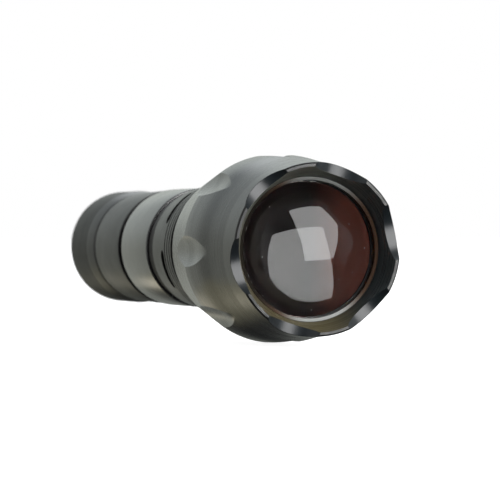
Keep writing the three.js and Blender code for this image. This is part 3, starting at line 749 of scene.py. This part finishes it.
def head_radius(station):
    """Outside radius of the head before the petals are cut: a smooth barrel, then a long cone."""
    if station >= HEAD_CORNER:
        share = (station - HEAD_CORNER) / (HEAD_REAR - 0.5 - HEAD_CORNER)
        return HEAD_RADIUS + (HEAD_REAR_RADIUS - HEAD_RADIUS) * share
    knots = HEAD_CURVE
    for i in range(len(knots) - 1):
        (a, first), (b, second) = knots[i], knots[i + 1]
        if station <= b:
            before = knots[max(0, i - 1)]
            after = knots[min(len(knots) - 1, i + 2)]
            slope_a = (second - before[1]) / (b - before[0])
            slope_b = (after[1] - first) / (after[0] - a) if after[0] > b else 0.0
            t = (station - a) / (b - a)
            h = b - a
            return (
                (2 * t**3 - 3 * t**2 + 1) * first
                + (t**3 - 2 * t**2 + t) * h * slope_a
                + (3 * t**2 - 2 * t**3) * second
                + (t**3 - t**2) * h * slope_b
            )
    return HEAD_RADIUS


def petal_axis(station):
    """Distance of the petal cutter's axis from the optical axis; it sinks in to a pointed tip."""
    slope = (PETAL_FLOOR_AT_END - PETAL_FLOOR_AT_APEX) / (PETAL_END - PETAL_APEX)
    floor = PETAL_FLOOR_AT_APEX + slope * (station - PETAL_APEX)
    along = min(1.0, max(0.0, (station - PETAL_TIP) / PETAL_POINT))
    radius = head_radius(station)
    return radius - (radius - floor) * along * (2 - along) + PETAL_CUTTER


def petal_edge(station):
    """Half the angle a petal spans at a station, in radians, or 0 where it isn't cut."""
    radius = head_radius(station)
    axis = petal_axis(station)
    if axis - PETAL_CUTTER >= radius - 0.001:
        return 0.0
    return math.acos((radius**2 + axis**2 - PETAL_CUTTER**2) / (2 * radius * axis))


def petal_radius(station, angle):
    """Radius of a petal's floor at an angle from its middle, in radians."""
    axis = petal_axis(station)
    aside = axis * math.sin(angle)
    return axis * math.cos(angle) - math.sqrt(max(0.0, PETAL_CUTTER**2 - aside**2))


def row_step(station):
    """Distance to the next outer row: small where petals begin and end, and at the corner."""
    marks = (PETAL_APEX, HEAD_CORNER, PETAL_END - 1)
    near = min(abs(station - mark) for mark in marks)
    if near < 1.2:
        return 0.12
    return 0.3 if near < 4 else 0.6


def head_stations():
    stations = [HEAD_CORNER - CORNER_EDGE, HEAD_CORNER + CORNER_EDGE]
    station = HEAD_FRONT + 0.1
    while station < HEAD_REAR - 0.6:
        stations.append(station)
        station += row_step(station)
    return sorted(stations)


def head_row(station, radius=None):
    """One ring of the head: 8 petals with lands between them, or plain if a radius is given."""
    cut = radius is None
    edge = petal_edge(station) if cut else PLAIN_EDGE
    outside = head_radius(station) if cut else radius
    row = []
    pitch = 2 * math.pi / PETALS
    for k in range(PETALS):
        middle = math.radians(PETAL_FIRST) + k * pitch
        for i in range(PETAL_FACETS + 1):
            angle = edge * math.sin(math.pi * (i / PETAL_FACETS - 0.5))
            depth = petal_radius(station, angle) if cut and edge > 0 else outside
            row.append(polar(station, min(outside, depth), math.degrees(middle + angle)))
        for i in range(1, LAND_FACETS):
            angle = edge + (pitch - 2 * edge) * i / LAND_FACETS
            row.append(polar(station, outside, math.degrees(middle + angle)))
    return row


def head_inside():
    """Outline of the head's rear face, its lip with the friction ring's groove, and its bores."""
    shelf_rear = LENS_SHELF + 1.6
    socket_rear = BEZEL_SPIGOT_REAR + PLAY
    outline = [
        (HEAD_REAR - 0.55, HEAD_REAR_RADIUS, 0.0),
        (HEAD_REAR, HEAD_REAR_RADIUS - 0.15, 0.35),
        (HEAD_REAR, LIP_RADIUS, 0.25),
        (HEAD_GROOVE_REAR, LIP_RADIUS, 0.1),
        (HEAD_GROOVE_REAR, HEAD_GROOVE_RADIUS, 0.1),
        (HEAD_GROOVE_FRONT, HEAD_GROOVE_RADIUS, 0.1),
        (HEAD_GROOVE_FRONT, LIP_RADIUS, 0.1),
        (LIP_FRONT, LIP_RADIUS, 0.2),
        (LIP_FRONT, HEAD_BORE, 0.3),
        (shelf_rear, HEAD_BORE, 0.2),
        (shelf_rear, DOME_BASE - 0.2, 0.2),
        (LENS_SHELF, DOME_BASE - 0.2, 0.2),
        (LENS_SHELF, LENS_POCKET, 0.1),
        (socket_rear, LENS_POCKET, 0.1),
        (socket_rear, SPIGOT_OUTER + PLAY, 0.1),
        (HEAD_FRONT, SPIGOT_OUTER + PLAY, 0.1),
    ]
    return soften(outline, 4)


def first_index(items, test):
    return next(i for i, item in enumerate(items) if test(item))


def make_head():
    outside = [head_row(station) for station in [HEAD_FRONT - 0.01] + head_stations()]
    inside = head_inside()
    rows = outside + [head_row(station, radius) for station, radius in inside]
    bore = len(outside) + first_index(
        inside, lambda p: p.x < LIP_FRONT + 0.3 and p.y < LIP_RADIUS + 0.5)
    rear_face = first_index(rows, lambda row: station_of(row[0]) > HEAD_REAR - 1.1)
    cone = first_index(rows, lambda row: station_of(row[0]) > HEAD_CORNER - CORNER_EDGE / 2)
    joint_face = len(rows) - 1

    def tag(i, j):
        if i == joint_face or i < cone:
            return 0
        if i < rear_face:
            return 3
        return 2 if i < bore else 1

    # The head's rear face, lip and groove take the darker recess anodising, which is painted shade.
    materials = [HEAD_BLACK, CAVITY, RECESS_PAINTED_SHADE, CONE_BLACK]
    piece = skin("head", rows, True, materials, tag, 12.0)
    stand_for(piece, "head_shell", "head")


# ---------------- lens stack
def make_lens():
    sag = DOME_SPHERE - math.sqrt(DOME_SPHERE**2 - DOME_BASE**2)
    base = LENS_APEX + sag
    centre = LENS_APEX + DOME_SPHERE
    half = math.asin(DOME_BASE / DOME_SPHERE)
    steps = 64
    outline = []
    for i in range(steps + 1):
        angle = half * i / steps
        station = centre - DOME_SPHERE * math.cos(angle)
        outline.append((station, DOME_SPHERE * math.sin(angle), 0.0))
    outline += [(base, LENS_FLANGE, 0.1), (LENS_BACK, LENS_FLANGE, 0.15), (LENS_BACK, 0.0, 0.0)]
    piece = turned("lens_optic", outline, [GLASS])
    stand_for(piece, "lens", "head")


def make_lens_rings():
    outer = MOUTH_RADIUS - 0.08
    outline = [
        (LENS_RING_FRONT, outer, 0.05),
        (LENS_RING_REAR, outer, 0.0),
        (LENS_RING_REAR, RING_BORE, 0.1),
        (LENS_RING_FRONT + 0.14, RING_BORE, 0.1),
        (LENS_RING_FRONT, outer - 0.04, 0.04),
    ]
    ring = turned("lens_ring", outline, [RING_TURNED])
    stand_for(ring, "lens_retaining_ring", "head")
    for node, name in (("lens_front_gasket", "front_gasket"), ("lens_rear_gasket", "rear_gasket")):
        front, rear = span(node)
        outline = [
            (front, DOME_BASE + 0.1, 0.3),
            (front, LENS_FLANGE, 0.2),
            (rear, LENS_FLANGE, 0.2),
            (rear, DOME_BASE + 0.1, 0.3),
        ]
        stand_for(turned(name, outline, [GASKET_BLACK]), node, "head")


def make_zoom_ring():
    middle = sum(span("zoom_o_ring")) / 2
    facets = 24
    outline = []
    for i in range(facets):
        angle = 2 * math.pi * i / facets
        station = middle + ZOOM_RING_SECTION * math.cos(angle)
        radius = ZOOM_RING_MIDDLE + ZOOM_RING_SECTION * math.sin(angle)
        outline.append((station, radius, 0.0))
    piece = turned("friction_ring", outline, [GASKET_BLACK])
    stand_for(piece, "zoom_o_ring", "zoom_ring")


# ---------------- neck
SLOT_FACETS = 20
BETWEEN_FACETS = 16
GROOVE_PROFILE = (  # share of the half width from the groove's middle, and of its depth
    (-1.5, 0), (-1.0, 0), (-0.8, 0.55), (-0.3, 1), (0.3, 1), (0.8, 0.55), (1.0, 0), (1.5, 0),
)


def collar_radius(station):
    """Outside radius of the collar, which is a slow cone."""
    share = (station - COLLAR_FRONT) / (COLLAR_REAR - COLLAR_FRONT)
    return COLLAR_FRONT_RADIUS + (COLLAR_REAR_RADIUS - COLLAR_FRONT_RADIUS) * share


def slot_edge(station):
    """Half the angle of a cooling slot at a station, in degrees: its ends are round."""
    half = (SLOT_REAR - SLOT_FRONT) / 2
    away = abs(station - (SLOT_FRONT + SLOT_REAR) / 2)
    inset = half - math.sqrt(max(0.0, half**2 - away**2))
    return SLOT_HALF_ARC - math.degrees(inset / collar_radius(station))


def neck_row(station, radius, edge=SLOT_HALF_ARC, floor=None):
    """One ring of the neck. Floor is the radius inside the slots, if they are cut here."""
    pitch = 360 / SLOTS
    row = []
    for k in range(SLOTS):
        middle = SLOT_FIRST + k * pitch
        row.append(polar(station, radius, middle - edge))
        for i in range(SLOT_FACETS + 1):
            angle = middle - edge + 2 * edge * i / SLOT_FACETS
            row.append(polar(station, floor or radius, angle))
        row.append(polar(station, radius, middle + edge))
        for i in range(1, BETWEEN_FACETS):
            angle = middle + edge + (pitch - 2 * edge) * i / BETWEEN_FACETS
            row.append(polar(station, radius, angle))
    return row


def neck_front():
    """Outline of the bare neck that the head slides on, and the front of the collar."""
    groove_radius = NECK_RADIUS - STOP_GROOVE_DEPTH
    collar_shoulder = COLLAR_FRONT + 1.0
    outline = [
        (PILL_BORE_REAR, NECK_BORE, 0.0),
        (NECK_FRONT, NECK_BORE, 0.2),
        (NECK_FRONT, NECK_RADIUS, 0.3),
        (STOP_GROOVE_FRONT, NECK_RADIUS, 0.05),
        (STOP_GROOVE_FRONT, groove_radius, 0.05),
        (STOP_GROOVE_REAR, groove_radius, 0.05),
        (STOP_GROOVE_REAR, NECK_RADIUS, 0.05),
        (COLLAR_FRONT, NECK_RADIUS, 0.2),
        (COLLAR_FRONT, COLLAR_FRONT_RADIUS, 0.3),
        (collar_shoulder, collar_radius(collar_shoulder), 0.0),
    ]
    return soften(outline, 4)


def neck_rear():
    """Outline of the collar behind the slots, the spigot for the tube and the bore."""
    behind_slots = SLOT_REAR + 2.0
    outline = [
        (behind_slots, collar_radius(behind_slots), 0.0),
        (COLLAR_REAR, COLLAR_REAR_RADIUS, 0.35),
        (COLLAR_REAR, SPIGOT_RADIUS, 0.2),
        (NECK_REAR, SPIGOT_RADIUS, 0.2),
        (NECK_REAR, BORE_RADIUS, 0.2),
        (PILL_BORE_REAR, BORE_RADIUS, 0.1),
    ]
    return soften(outline, 4)


def slot_rows():
    """Rows through the cooling slots. The first and the last are still level with the collar."""
    steps = 16
    middle = (SLOT_FRONT + SLOT_REAR) / 2
    half = (SLOT_REAR - SLOT_FRONT) / 2
    stations = [middle + half * math.sin(math.pi * (i / steps - 0.5)) for i in range(steps + 1)]
    rows = [neck_row(at, collar_radius(at), slot_edge(at), SLOT_FLOOR) for at in stations]
    front, rear = stations[0], stations[-1]
    rows.insert(0, neck_row(front, collar_radius(front), slot_edge(front)))
    rows.append(neck_row(rear, collar_radius(rear), slot_edge(rear)))
    return rows


def make_neck():
    front = neck_front()
    rows = [neck_row(p.x, p.y) for p in front]
    grooved = set()
    for groove in COLLAR_GROOVES:
        for away, share in GROOVE_PROFILE:
            station = groove + away * GROOVE_HALF_WIDTH
            if share > 0:
                grooved.update((len(rows) - 1, len(rows)))
            rows.append(neck_row(station, collar_radius(station) - GROOVE_DEPTH * share))
    before, after = SLOT_FRONT - SLOT_RIM, SLOT_REAR + SLOT_RIM
    rows.append(neck_row(before, collar_radius(before), slot_edge(SLOT_FRONT)))
    slots = slot_rows()
    cut = range(len(rows), len(rows) + len(slots) - 1)
    rows += slots
    rows.append(neck_row(after, collar_radius(after), slot_edge(SLOT_REAR)))
    rear = neck_rear()
    collar_end = len(rows) + first_index(
        rear, lambda p: p.x > COLLAR_REAR - 0.1 and p.y < COLLAR_REAR_RADIUS - 0.5)
    rows += [neck_row(p.x, p.y) for p in rear]
    collar_start = first_index(front, lambda p: p.x > COLLAR_FRONT - 0.3)
    in_slot = SLOT_FACETS + 2  # columns of a slot with both its ends

    def tag(i, j):
        if i < collar_start:
            return 1
        inside_slot = i in cut and j % (in_slot + BETWEEN_FACETS) < in_slot
        return 2 if i in grooved or inside_slot or i >= collar_end else 0

    piece = skin("neck", rows, True, [COLLAR_BLACK, NECK_BARE, RECESS_PAINTED_SHADE], tag, 20.0)
    stand_for(piece, "neck_housing", "barrel")


def make_seal():
    inner = SPIGOT_RADIUS + PLAY
    outline = [
        (SEAL_FRONT, inner, 0.1),
        (SEAL_FRONT, inner + SEAL_THICKNESS, 0.5),
        (SEAL_REAR, inner + SEAL_THICKNESS, 0.5),
        (SEAL_REAR, inner, 0.1),
    ]
    piece = turned("seal", outline, [GASKET_BLACK])
    stand_for(piece, "neck_seal_ring", "barrel")


def make_cover():
    """The disc over the light engine, with a conical hole for the emitter."""
    inside = COVER_FRONT + COVER_THICKNESS
    outline = [
        (COVER_FRONT, 4.4, 0.1),
        (COVER_FRONT, COVER_OUTER, 0.5),
        (COVER_REAR, COVER_OUTER, 0.2),
        (COVER_REAR, COVER_INNER, 0.1),
        (inside, COVER_INNER, 0.2),
        (inside, 3.6, 0.1),
    ]
    piece = turned("light_engine_cover", outline, [COVER_DARK], facets=96)
    stand_for(piece, "led_cover", "barrel")


# ---------------- tube and tail
def make_tube():
    groove_rear = TUBE_GROOVE + TUBE_GROOVE_WIDTH
    groove_radius = TUBE_RADIUS - TUBE_GROOVE_DEPTH
    socket_radius = SPIGOT_RADIUS + PLAY
    socket_rear = NECK_REAR + 0.3
    outline = [
        (TUBE_FRONT, socket_radius, 0.1),
        (TUBE_FRONT, TUBE_RADIUS, 0.45),
        (TUBE_GROOVE, TUBE_RADIUS, 0.3),
        (TUBE_GROOVE, groove_radius, 0.2),
        (groove_rear, groove_radius, 0.2),
        (groove_rear, TUBE_RADIUS - 0.15, 0.3),
        (TUBE_REAR, TUBE_REAR_RADIUS, 0.45),
        (TUBE_REAR, SPIGOT_RADIUS, 0.1),
        (SPIGOT_GROOVE_FRONT, SPIGOT_RADIUS, 0.05),
        (SPIGOT_GROOVE_FRONT, SPIGOT_GROOVE_RADIUS, 0.05),
        (SPIGOT_GROOVE_REAR, SPIGOT_GROOVE_RADIUS, 0.05),
        (SPIGOT_GROOVE_REAR, SPIGOT_RADIUS, 0.05),
        (TUBE_SPIGOT_REAR, SPIGOT_RADIUS, 0.3),
        (TUBE_SPIGOT_REAR, BORE_RADIUS, 0.2),
        (socket_rear, BORE_RADIUS, 0.1),
        (socket_rear, socket_radius, 0.1),
    ]

    def zone(station, radius):
        in_groove = TUBE_GROOVE - 0.1 < station < groove_rear + 0.1
        if radius < TUBE_REAR_RADIUS - 0.4 or in_groove and radius < TUBE_RADIUS - 0.6:
            return 2
        return 0 if station < TUBE_GROOVE + 0.3 else 1

    piece = turned("tube", outline, [TUBE_SATIN, TUBE_MATT, RECESS_PAINTED_SHADE], zone)
    stand_for(piece, "battery_tube", "barrel")


def make_cap():
    outline = [
        (CAP_FRONT, SPIGOT_RADIUS + PLAY, 0.1),
        (CAP_FRONT, TUBE_REAR_RADIUS - 0.05, 0.4),
        (CAP_LIP_REAR, CAP_RADIUS, 0.35),
        (CAP_REAR, CAP_RADIUS - 0.05, 1.9),
        (CAP_REAR, BUTTON_HOLE, 0.7),
        (CAP_WALL_FRONT, BUTTON_HOLE, 0.2),
        (CAP_WALL_FRONT, CAP_CHAMBER, 0.1),
        (CAP_STEP, CAP_CHAMBER, 0.1),
        (CAP_STEP, SPIGOT_RADIUS + PLAY, 0.1),
    ]

    def zone(station, radius):
        on_lip = station < CAP_LIP_REAR and radius > SPIGOT_RADIUS + 0.3
        return 0 if on_lip else 1

    piece = turned("cap", outline, [LIP_SATIN, CAP_MATT], zone)
    stand_for(piece, "tail_cap", "tail")


def stretch_to_button(piece, node):
    """The piece takes a soft node's place, with its placement baked into its mesh."""
    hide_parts(node)
    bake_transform(piece)


def make_boot():
    """The button cover, with its flange in the cap and a ringed dome."""
    skirt = BUTTON_HOLE - 0.15
    flange = CAP_CHAMBER - 0.15
    seat = CAP_WALL_FRONT - PLAY
    shoulder = BOOT_REAR - BOOT_SHOULDER
    outline = [
        (BOOT_REAR - BOOT_WALL, 0.0, 0.0),
        (BOOT_REAR - BOOT_WALL, 4.2, 0.6),
        (BOOT_REAR - 2.0, BOOT_HOLLOW, 0.4),
        (BOOT_FRONT, BOOT_HOLLOW, 0.1),
        (BOOT_FRONT, flange, 0.1),
        (seat, flange, 0.1),
        (seat, skirt, 0.1),
        (shoulder, skirt, 1.2),
    ]
    crest = BOOT_REAR - 0.12
    valley = BOOT_REAR - 0.34
    for i in range(4):
        radius = 5.0 - 1.1 * i
        outline += [
            (crest, radius, 0.12),
            (valley, radius - 0.15, 0.1),
            (valley, radius - 0.45, 0.1),
            (crest + 0.04 * i, radius - 0.6, 0.12),
        ]
    outline.append((BOOT_REAR, 0.0, 0.0))
    piece = turned("boot", outline, [BOOT_BLACK], facets=128)
    stretch_to_button(piece, "rubber_boot")


def make_return_spring():
    """Return spring of the switch, coiled between the housing and the plunger."""
    front, rear = span("switch_spring")
    wire, coil = 0.2, 1.6  # radii
    turns, per_turn, sides = 3.5, 28, 10
    steps = int(turns * per_turn)
    rows = []
    for i in range(steps + 1):
        share = i / steps
        centre = front + wire + (rear - front - 2 * wire) * share
        ring = []
        for k in range(sides):
            side = 2 * math.pi * k / sides
            station = centre + wire * math.sin(side)
            ring.append(polar(station, coil + wire * math.cos(side), 360 * turns * share))
        rows.append(ring)
    ends = [[sum(ring, Vector()) / sides] * sides for ring in (rows[0], rows[-1])]
    rows = ends[:1] + rows + ends[1:]
    piece = skin("return_spring", rows, False, [STEEL], sharp=40.0)
    stretch_to_button(piece, "switch_spring")


# ---------------- CAD nodes that stay
def dress_internal_parts():
    finishes = {
        STEEL: ("head_stop_ring", "driver_spring", "tail_spring"),
        PILL_METAL: ("led_pill",),
        plastic("board_white", (0.62, 0.62, 0.6)): ("led_board", "battery_sleeve"),
        plastic("emitter_phosphor", (0.7, 0.55, 0.09), 0.25): ("led_emitter",),
        plastic("wire_red", (0.35, 0.02, 0.015)): ("led_lead_positive",),
        plastic("wire_black", (0.02, 0.02, 0.02)): ("led_lead_negative",),
        plastic("board_green", (0.02, 0.11, 0.045)): ("driver_board", "switch_board"),
        plastic("cell_shrink_wrap", (0.03, 0.14, 0.24), 0.3): ("battery_cell",),
        plastic("switch_black", (0.02, 0.02, 0.02), 0.4): ("switch_housing", "switch_plunger"),
        SWITCH_RING: ("switch_retaining_ring",),
        GASKET_BLACK: ("tail_o_ring",),
    }
    for material, nodes in finishes.items():
        for node in nodes:
            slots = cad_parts[node].material_slots
            if not slots:
                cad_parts[node].data.materials.append(material)
            for place in slots:
                place.material = material


# ---------------- stage
def add_sheet(name, corners, shader):
    """A flat sheet of the stage, which isn't part of the object."""
    mesh = bpy.data.meshes.new(name)
    mesh.from_pydata(corners, [], [tuple(range(len(corners)))])
    mesh.materials.append(shader.material)
    sheet = add_object(name, mesh)
    return sheet


CAMERA_AZIMUTH = 17.11  # degrees that the view turns from the optical axis
CAMERA_PITCH = -0.28
CAMERA_DISTANCE = 670.2  # millimetres from the camera to the front of the light
CAMERA_RIGHT = 13.88  # from the view's centre to the front of the light
CAMERA_BELOW = -0.13
FOCAL_PER_WIDTH = 6.573
APERTURE = 70.0
FOCUS_BEHIND_FRONT = 5.0
SENSOR_WIDTH = 36.0


def make_focus(place):
    """An empty that the camera focuses on, so that the head is sharp from other sides too."""
    focus = add_object("focus", None)
    focus.location = place
    return focus


def make_camera():
    """The main view: almost along the light, from its lens side, with a long lens."""
    yaw = math.radians(CAMERA_AZIMUTH)
    pitch = math.radians(CAMERA_PITCH)
    side = math.sin(yaw) * math.cos(pitch)
    right = Vector((math.sqrt(1 - side**2), -side, 0))
    lean = math.sin(pitch)
    tilt = side * lean / right.x
    down = Vector((tilt, lean, -math.sqrt(1 - tilt**2 - lean**2)))
    forward = right.cross(down)
    target = Vector((0, FRONT_Y, 0))
    data = bpy.data.cameras.new("camera")
    data.sensor_width = SENSOR_WIDTH
    data.lens = SENSOR_WIDTH * FOCAL_PER_WIDTH
    camera = add_object("camera", data)
    turn = Matrix((right, -down, -forward)).transposed()
    camera.matrix_world = turn.to_4x4()
    offset = right * CAMERA_RIGHT + down * CAMERA_BELOW + forward * CAMERA_DISTANCE
    camera.location = target - offset * MM
    data.dof.use_dof = True
    data.dof.focus_object = make_focus(target + forward * FOCUS_BEHIND_FRONT * MM)
    data.dof.aperture_fstop = APERTURE
    data.clip_start = 0.01
    data.clip_end = 50.0
    bpy.context.scene.camera = camera


PANEL_AZIMUTH = 22.0  # degrees from -Y towards +X
PANEL_ELEVATION = 17.0
PANEL_DISTANCE = 0.5
PANEL_CORNERS = ((-0.26, 0.38), (-0.15, -0.31), (0.23, -0.26), (0.31, 0.1), (0.16, 0.33))
PANEL_RADIANCE = 5.5


def make_light_panel():
    """A leaning, uneven diffuser panel in front of the lens, to the right of the camera."""
    a, e = math.radians(PANEL_AZIMUTH), math.radians(PANEL_ELEVATION)
    direction = Vector((math.sin(a) * math.cos(e), -math.cos(a) * math.cos(e), math.sin(e)))
    side = Vector((math.cos(a), math.sin(a), 0))
    up = side.cross(-direction)
    middle = Vector((0, FRONT_Y, 0)) + direction * PANEL_DISTANCE
    corners = [middle + side * across + up * high for across, high in PANEL_CORNERS]
    s = Shader("diffuser")
    s.link(s.glow(PANEL_RADIANCE), s.surface)
    add_sheet("light_panel", corners, s).visible_camera = False


HORIZON = -0.265  # height of a unit direction at which the pale wall meets the darker table
HORIZON_BLUR = 0.03
AMBIENT = (0.04, 0.042, 0.042)
PATCHES = (  # azimuth, elevation, width, colour and side of the horizon
    (-10, 0, 35, (0.5, 0.52, 0.46), "above"),
    (-10, 30, 35, (0.28, 0.32, 0.35), "above"),
    (30, 15, 35, (0.5, 0.54, 0.5), "above"),
    (30, 50, 35, (3.2, 3.3, 3.4), "above"),
    (90, 15, 60, (0.5, 0.5, 0.5), "above"),
    (-90, 15, 60, (0.5, 0.5, 0.5), "above"),
    (180, 60, 40, (0.15, 0.15, 0.15), "above"),
    (-20, -20, 22, (0.53, 0.5, 0.34), "below"),
    (-7, -16, 6, (1.3, 1.2, 1.0), "below"),
)


class Sky(Nodes):
    """The studio as reflections see it, in soft patches of light, and white behind the light."""

    def __init__(self):
        self.world = bpy.data.worlds.new("studio")
        super().__init__(self.world)
        self.tree.nodes.clear()
        self.direction = self.node("TexCoord").outputs["Generated"]
        split = self.node("SeparateXYZ")
        self.link(self.direction, split.inputs[0])
        low, high = HORIZON - HORIZON_BLUR, HORIZON + HORIZON_BLUR
        self.sides = {
            "above": self.ramp(split.outputs[2], low, high),
            "below": self.ramp(split.outputs[2], high, low),
        }

    def patch(self, azimuth, elevation, wide, colour, side):
        """A soft round patch; azimuth runs from +Y towards +X and wide is where it fades out."""
        a, e = math.radians(azimuth), math.radians(elevation)
        aim = Vector((math.sin(a) * math.cos(e), math.cos(a) * math.cos(e), math.sin(e)))
        dot = self.node("VectorMath", operation="DOT_PRODUCT")
        self.fill(dot, self.direction, aim)
        fade = self.ramp(dot.outputs["Value"], math.cos(math.radians(wide)), 1.0)
        scale = self.node("VectorMath", operation="SCALE")
        scale.inputs[0].default_value = colour
        self.link(self.math("MULTIPLY", fade, self.sides[side]), scale.inputs["Scale"])
        return scale.outputs[0]

    def finish(self):
        total = self.fill(self.node("CombineXYZ"), *AMBIENT)
        for patch in PATCHES:
            total = self.fill(self.node("VectorMath", operation="ADD"), total, self.patch(*patch))
        seen = self.node("LightPath").outputs["Is Camera Ray"]
        studio = self.shade("Background", total)
        mix = self.either(seen, studio, self.shade("Background", WHITE))
        self.link(mix, self.node("OutputWorld").inputs["Surface"])
        bpy.context.scene.world = self.world


FLOOR_HALF_SIDE = 6.0
FLOOR_GAP = 0.0004  # metres under the lowest point of the light
FLOOR_GLOW = 0.93


def make_floor():
    """A plain pale floor just under the head, lit so that only a faint contact shadow shows."""
    z = min(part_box(node)[0].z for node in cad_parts) - FLOOR_GAP
    signs = ((-1, -1), (1, -1), (1, 1), (-1, 1))
    corners = [(x * FLOOR_HALF_SIDE, y * FLOOR_HALF_SIDE, z) for x, y in signs]
    s = Shader("floor_paper")
    cloud = s.ramp(s.noise(60.0, 3.0), 0.3, 0.7)
    tone = s.mix(cloud, rgba(0.72, 0.72, 0.72), rgba(0.76, 0.76, 0.76))
    both = s.fill(s.node("AddShader"), s.glow(FLOOR_GLOW), s.shade("BsdfDiffuse", tone))
    s.link(both, s.surface)
    floor = add_sheet("floor", corners, s)
    floor.visible_glossy = False
    floor.visible_diffuse = False
    floor.visible_transmission = False


make_bezel()
make_head()
make_lens()
make_lens_rings()
make_zoom_ring()
make_neck()
make_seal()
make_cover()
make_tube()
make_cap()
make_boot()
make_return_spring()
dress_internal_parts()

make_camera()
Sky().finish()
make_floor()
make_light_panel()
bpy.context.scene.view_settings.view_transform = "Standard"
